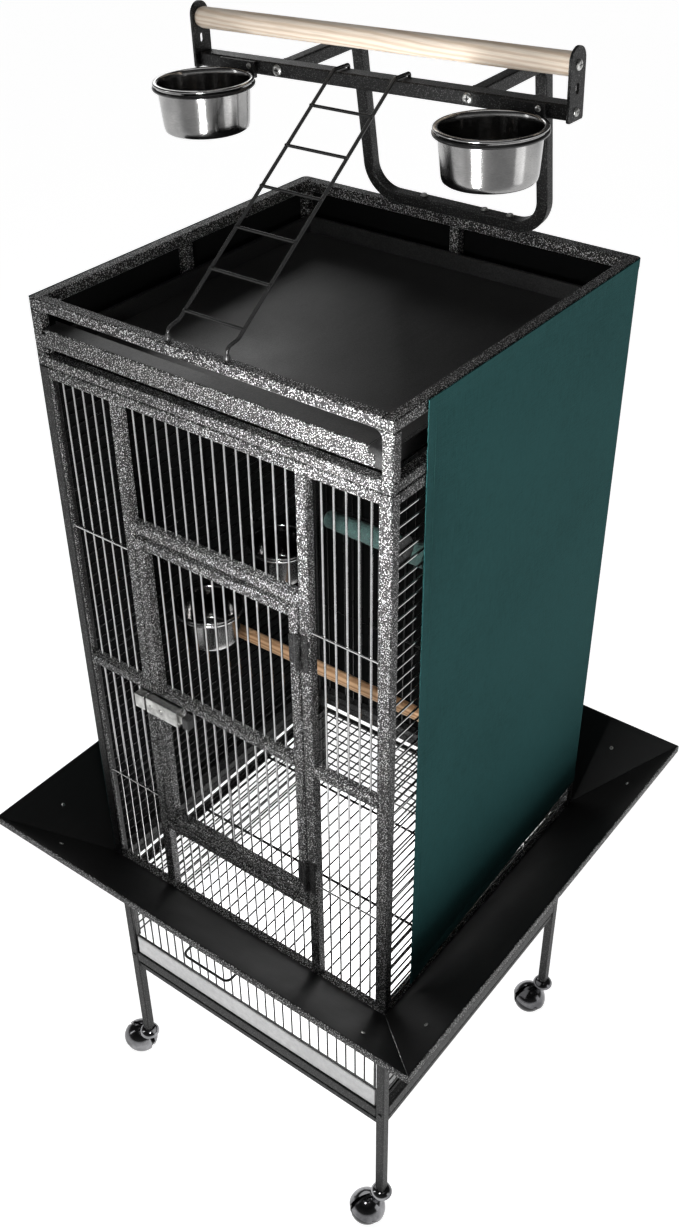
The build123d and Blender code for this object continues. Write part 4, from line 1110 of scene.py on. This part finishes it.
for sx in (-1, 1):
    for sy in (-1, 1):
        for z in (240.5, 435.65):
            cross_head((sx * (HW - 6.35), sy * HW, z), (0, sy, 0), 3.0, 1.4, m=2)
rr_ = 300.0
zz_ = 456.0 + (rr_ - HW - 0.1) * 86.0 / 102.9
for t_ in (-248.0, 248.0):
    for ux, uy in ((0, -1), (1, 0), (0, 1), (-1, 0)):
        px, py = ux * rr_ - uy * t_, uy * rr_ + ux * t_
        cross_head((px, py, zz_ + 0.05), (ux * -0.6424, uy * -0.6424, 0.7664), 2.6, 1.3, m=0)
g.make("bolt_heads", [M_ZINC, M_KNOB, M_HAMMER_SHADED], "cage", ["bolts"], weighted=False, sharp=38.0)

# ------------------------------------------------------------------ cover: one cloth round the right, rear and left sides
CA = HW + 1.0
Y0R, Y0L, ZC = -177.0, -226.0, 1262.4
base = fillet([(CA, Y0R, 0), (CA, CA, 0), (-CA, CA, 0), (-CA, Y0L, 0)], 6.0, seg=6)
dense = []
for i in range(len(base) - 1):
    a, b = base[i], base[i + 1]
    k = max(1, int((b - a).length / 6.0))
    for j in range(k):
        dense.append(a + (b - a) * (j / k))
dense.append(base[-1])
arc = [0.0]
for i in range(1, len(dense)):
    arc.append(arc[-1] + (dense[i] - dense[i - 1]).length)
total = arc[-1]
ROWS = 120
C = ROWS + 1


def hem_z(p):
    """The lower edge rises towards the back."""
    f = min(1.0, max(0.0, (p.y - Y0R) / (CA - Y0R)))
    return 463.0 + 37.0 * f ** 0.8


outer, inner, uvs, norms = [], [], [], []
HEM = 13.0
for i, p in enumerate(dense):
    a = dense[min(i + 1, len(dense) - 1)] - dense[max(i - 1, 0)]
    nrm = Vector((a.y, -a.x, 0)).normalized()
    if nrm.dot(Vector((p.x, p.y, 0))) < 0:
        nrm = -nrm
    s, zb = arc[i], hem_z(p)
    for j in range(C):
        # rows are closer together in the hems
        h0, h1 = 3, ROWS - 3
        if j <= h0:
            z = zb + HEM * j / h0
        elif j >= h1:
            z = ZC - HEM * (ROWS - j) / 3
        else:
            z = zb + HEM + (ZC - zb - 2 * HEM) * (j - h0) / (h1 - h0)
        loose = (ZC - z) / (ZC - zb)
        fold = noise.noise(Vector((s / 150.0, z / 1100.0, 1.3))) + noise.noise(Vector((s / 60.0, z / 520.0, 7.7))) * 0.4
        small = noise.noise(Vector((s / 13.0, z / 19.0, 3.1))) * 0.07
        out = (0.15 + 0.75 * loose) * max(0.0, fold * 0.5 + 0.35) + small
        edge = min(s, total - s)
        thick = 0.55
        if z - zb < HEM or ZC - z < HEM * 0.7 or edge < HEM:
            thick = 1.05  # the turned hem is double
        elif z - zb < HEM + 2.2 or edge < HEM + 3.0:
            thick = 0.42  # pulled in along the stitch line
        out = max(0.0, min(out, 1.4))
        q = p + nrm * out
        inner.append((q.x / 1000, q.y / 1000, z / 1000))
        q = q + nrm * thick
        outer.append((q.x / 1000, q.y / 1000, z / 1000))
        uvs.append((s / 1000, z / 1000))
n_in = len(inner)
verts = inner + outer
uvs = uvs + uvs
faces, fmat = [], []
nd_ = len(dense)
for i in range(nd_ - 1):
    for j in range(ROWS):
        q = (i * C + j, (i + 1) * C + j, (i + 1) * C + j + 1, i * C + j + 1)
        faces.append(q[::-1])
        fmat.append(1)
        faces.append(tuple(v + n_in for v in q))
        fmat.append(0)
loop = [i * C for i in range(nd_)] + [(nd_ - 1) * C + j for j in range(1, C)] + [i * C + ROWS for i in range(nd_ - 2, -1, -1)] + [j for j in range(ROWS - 1, 0, -1)]
for k in range(len(loop)):
    a, b = loop[k], loop[(k + 1) % len(loop)]
    faces.append((a, a + n_in, b + n_in, b))
    fmat.append(0)
me = bpy.data.meshes.new("cover_cloth")
me.from_pydata(verts, [], faces)
uv = me.uv_layers.new(name="UVMap")
for poly in me.polygons:
    for li in poly.loop_indices:
        uv.data[li].uv = uvs[me.loops[li].vertex_index]
# the inner faces take the near-black second material: painted shade
me.materials.append(M_CLOTH)
me.materials.append(M_CLOTH_INSIDE_SHADE)
me.polygons.foreach_set("material_index", fmat)
me.polygons.foreach_set("use_smooth", [True] * len(me.polygons))
bmc = bmesh.new()
bmc.from_mesh(me)
bmesh.ops.recalc_face_normals(bmc, faces=bmc.faces[:])
bmc.to_mesh(me)
bmc.free()
me.set_sharp_from_angle(angle=math.radians(50))
me.update()
cover = bpy.data.objects.new("cover_cloth", me)
bpy.context.scene.collection.objects.link(cover)
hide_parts("cover")
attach(cover, "cover")

# the stitch line: short threads just inside the hem
g = Build()
def stitch(i0, j0, i1, j1):
    a, b = Vector(outer[i0 * C + j0]) * 1000, Vector(outer[i1 * C + j1]) * 1000
    mid = (a + b) / 2
    n = Vector((mid.x, mid.y, 0))
    n = Vector((math.copysign(1, n.x), 0, 0)) if abs(n.x) > HW else Vector((0, 1, 0))
    dirv = (b - a).normalized()
    L = min(2.2, (b - a).length * 0.42)
    k = 2
    for t in range(k):
        c = a + (b - a) * ((t + 0.5) / k)
        g.sweep([c - dirv * L / 2 + n * 0.02, c + n * 0.16, c + dirv * L / 2 + n * 0.02], 0.16, n=4, caps=False)
for i in range(2, nd_ - 3):
    stitch(i, 3, i + 1, 3)
for j in range(3, ROWS - 3):
    stitch(2, j, 2, j + 1)
    stitch(nd_ - 3, j, nd_ - 3, j + 1)
hem = g.make("cover_stitching", [M_THREAD], "cover", [], weighted=False)

# ------------------------------------------------------------------ floor, light
fl = bpy.data.meshes.new("floor")
nf = 40
fv = [(-14 + 28 * i / nf, -14 + 28 * j / nf, 0.0) for i in range(nf + 1) for j in range(nf + 1)]
ff = [(i * (nf + 1) + j, (i + 1) * (nf + 1) + j, (i + 1) * (nf + 1) + j + 1, i * (nf + 1) + j + 1) for i in range(nf) for j in range(nf)]
fl.from_pydata(fv, [], ff)
floor = bpy.data.objects.new("floor", fl)
bpy.context.scene.collection.objects.link(floor)
mf, ntf, bf = new_mat("floor_paper_painted_glow")
nz = node(ntf, "ShaderNodeTexNoise", {"Vector": coords(ntf), "Scale": 3.0, "Detail": 3.0})
cf = ramp(ntf, nz.outputs["Fac"], [(0.3, grey(0.50)), (0.7, grey(0.53))])
ntf.links.new(cf.outputs["Color"], bf.inputs["Base Color"])
bf.inputs["Roughness"].default_value = 0.95
bf.inputs["Specular IOR Level"].default_value = 0.05
bf.inputs["Emission Strength"].default_value = 1.0
# painted light: the floor glows, brightest round and behind the object and dimmer in front of it; the glow fills in the
# object's shadow and lights it from below
fsep = node(ntf, "ShaderNodeSeparateXYZ", {"Vector": coords(ntf)})
fx = node(ntf, "ShaderNodeMath", {0: fsep.outputs["X"], 1: 0.61}, operation="MULTIPLY")
fy_ = node(ntf, "ShaderNodeMath", {0: fsep.outputs["Y"], 1: -0.79}, operation="MULTIPLY")
fsum = node(ntf, "ShaderNodeMath", {0: fx.outputs[0], 1: fy_.outputs[0]}, operation="ADD")
fdiv = node(ntf, "ShaderNodeMath", {0: fsum.outputs[0], 1: 0.25}, operation="MULTIPLY")
fr_ = ramp(ntf, fdiv.outputs[0], [(0.0, grey(0.96)), (0.21, grey(0.96)), (0.50, grey(0.42))], "EASE")
ntf.links.new(fr_.outputs["Color"], bf.inputs["Emission Color"])
fl.materials.append(mf)

# the room: pale at the horizon, dark overhead, so that metal shows crisp bands
world = bpy.data.worlds.new("studio")
bpy.context.scene.world = world
world.use_nodes = True
wn = world.node_tree
bg = wn.nodes["Background"]
wc = node(wn, "ShaderNodeTexCoord")
sep = node(wn, "ShaderNodeSeparateXYZ", {"Vector": wc.outputs["Generated"]})
wr = ramp(wn, sep.outputs["Z"], [(0.0, grey(1.0)), (0.07, grey(0.90)), (0.16, grey(0.07)), (0.75, grey(0.02)), (1.0, grey(0.05))])
wn.links.new(wr.outputs["Color"], bg.inputs["Color"])
bg.inputs["Strength"].default_value = 1.0


def area(name, loc, target, size, power, size_y=None, spread=180):
    ld = bpy.data.lights.new(name, "AREA")
    ld.energy = power
    ld.size = size
    if size_y:
        ld.shape = "RECTANGLE"
        ld.size_y = size_y
    ld.spread = math.radians(spread)
    lo = bpy.data.objects.new(name, ld)
    bpy.context.scene.collection.objects.link(lo)
    lo.location = loc
    lo.rotation_mode = "QUATERNION"
    lo.rotation_quaternion = (Vector(target) - Vector(loc)).to_track_quat("-Z", "Y")
    lo.visible_camera = False
    return lo


area("key_front", (0.20, -0.545, 1.20), (0.20, -0.22, 1.13), 0.12, 5.8, size_y=0.28, spread=150)
area("top_soft", (0.1, -0.1, 3.4), (0.0, 0.0, 0.8), 1.8, 9)
area("left_strip", (-1.9, -1.6, 1.6), (0.0, 0.0, 1.1), 0.30, 5, size_y=1.8)
area("rear_strip", (-1.9, 1.6, 2.2), (0.0, 0.0, 1.2), 0.8, 6, size_y=0.8)
area("right_soft", (2.4, 0.5, 0.8), (0.2, 0.0, 0.60), 1.0, 4.2, size_y=1.2)
area("tray_fill", (0.0, 0.0, 0.415), (0.0, 0.0, 0.2), 0.40, 2.6)
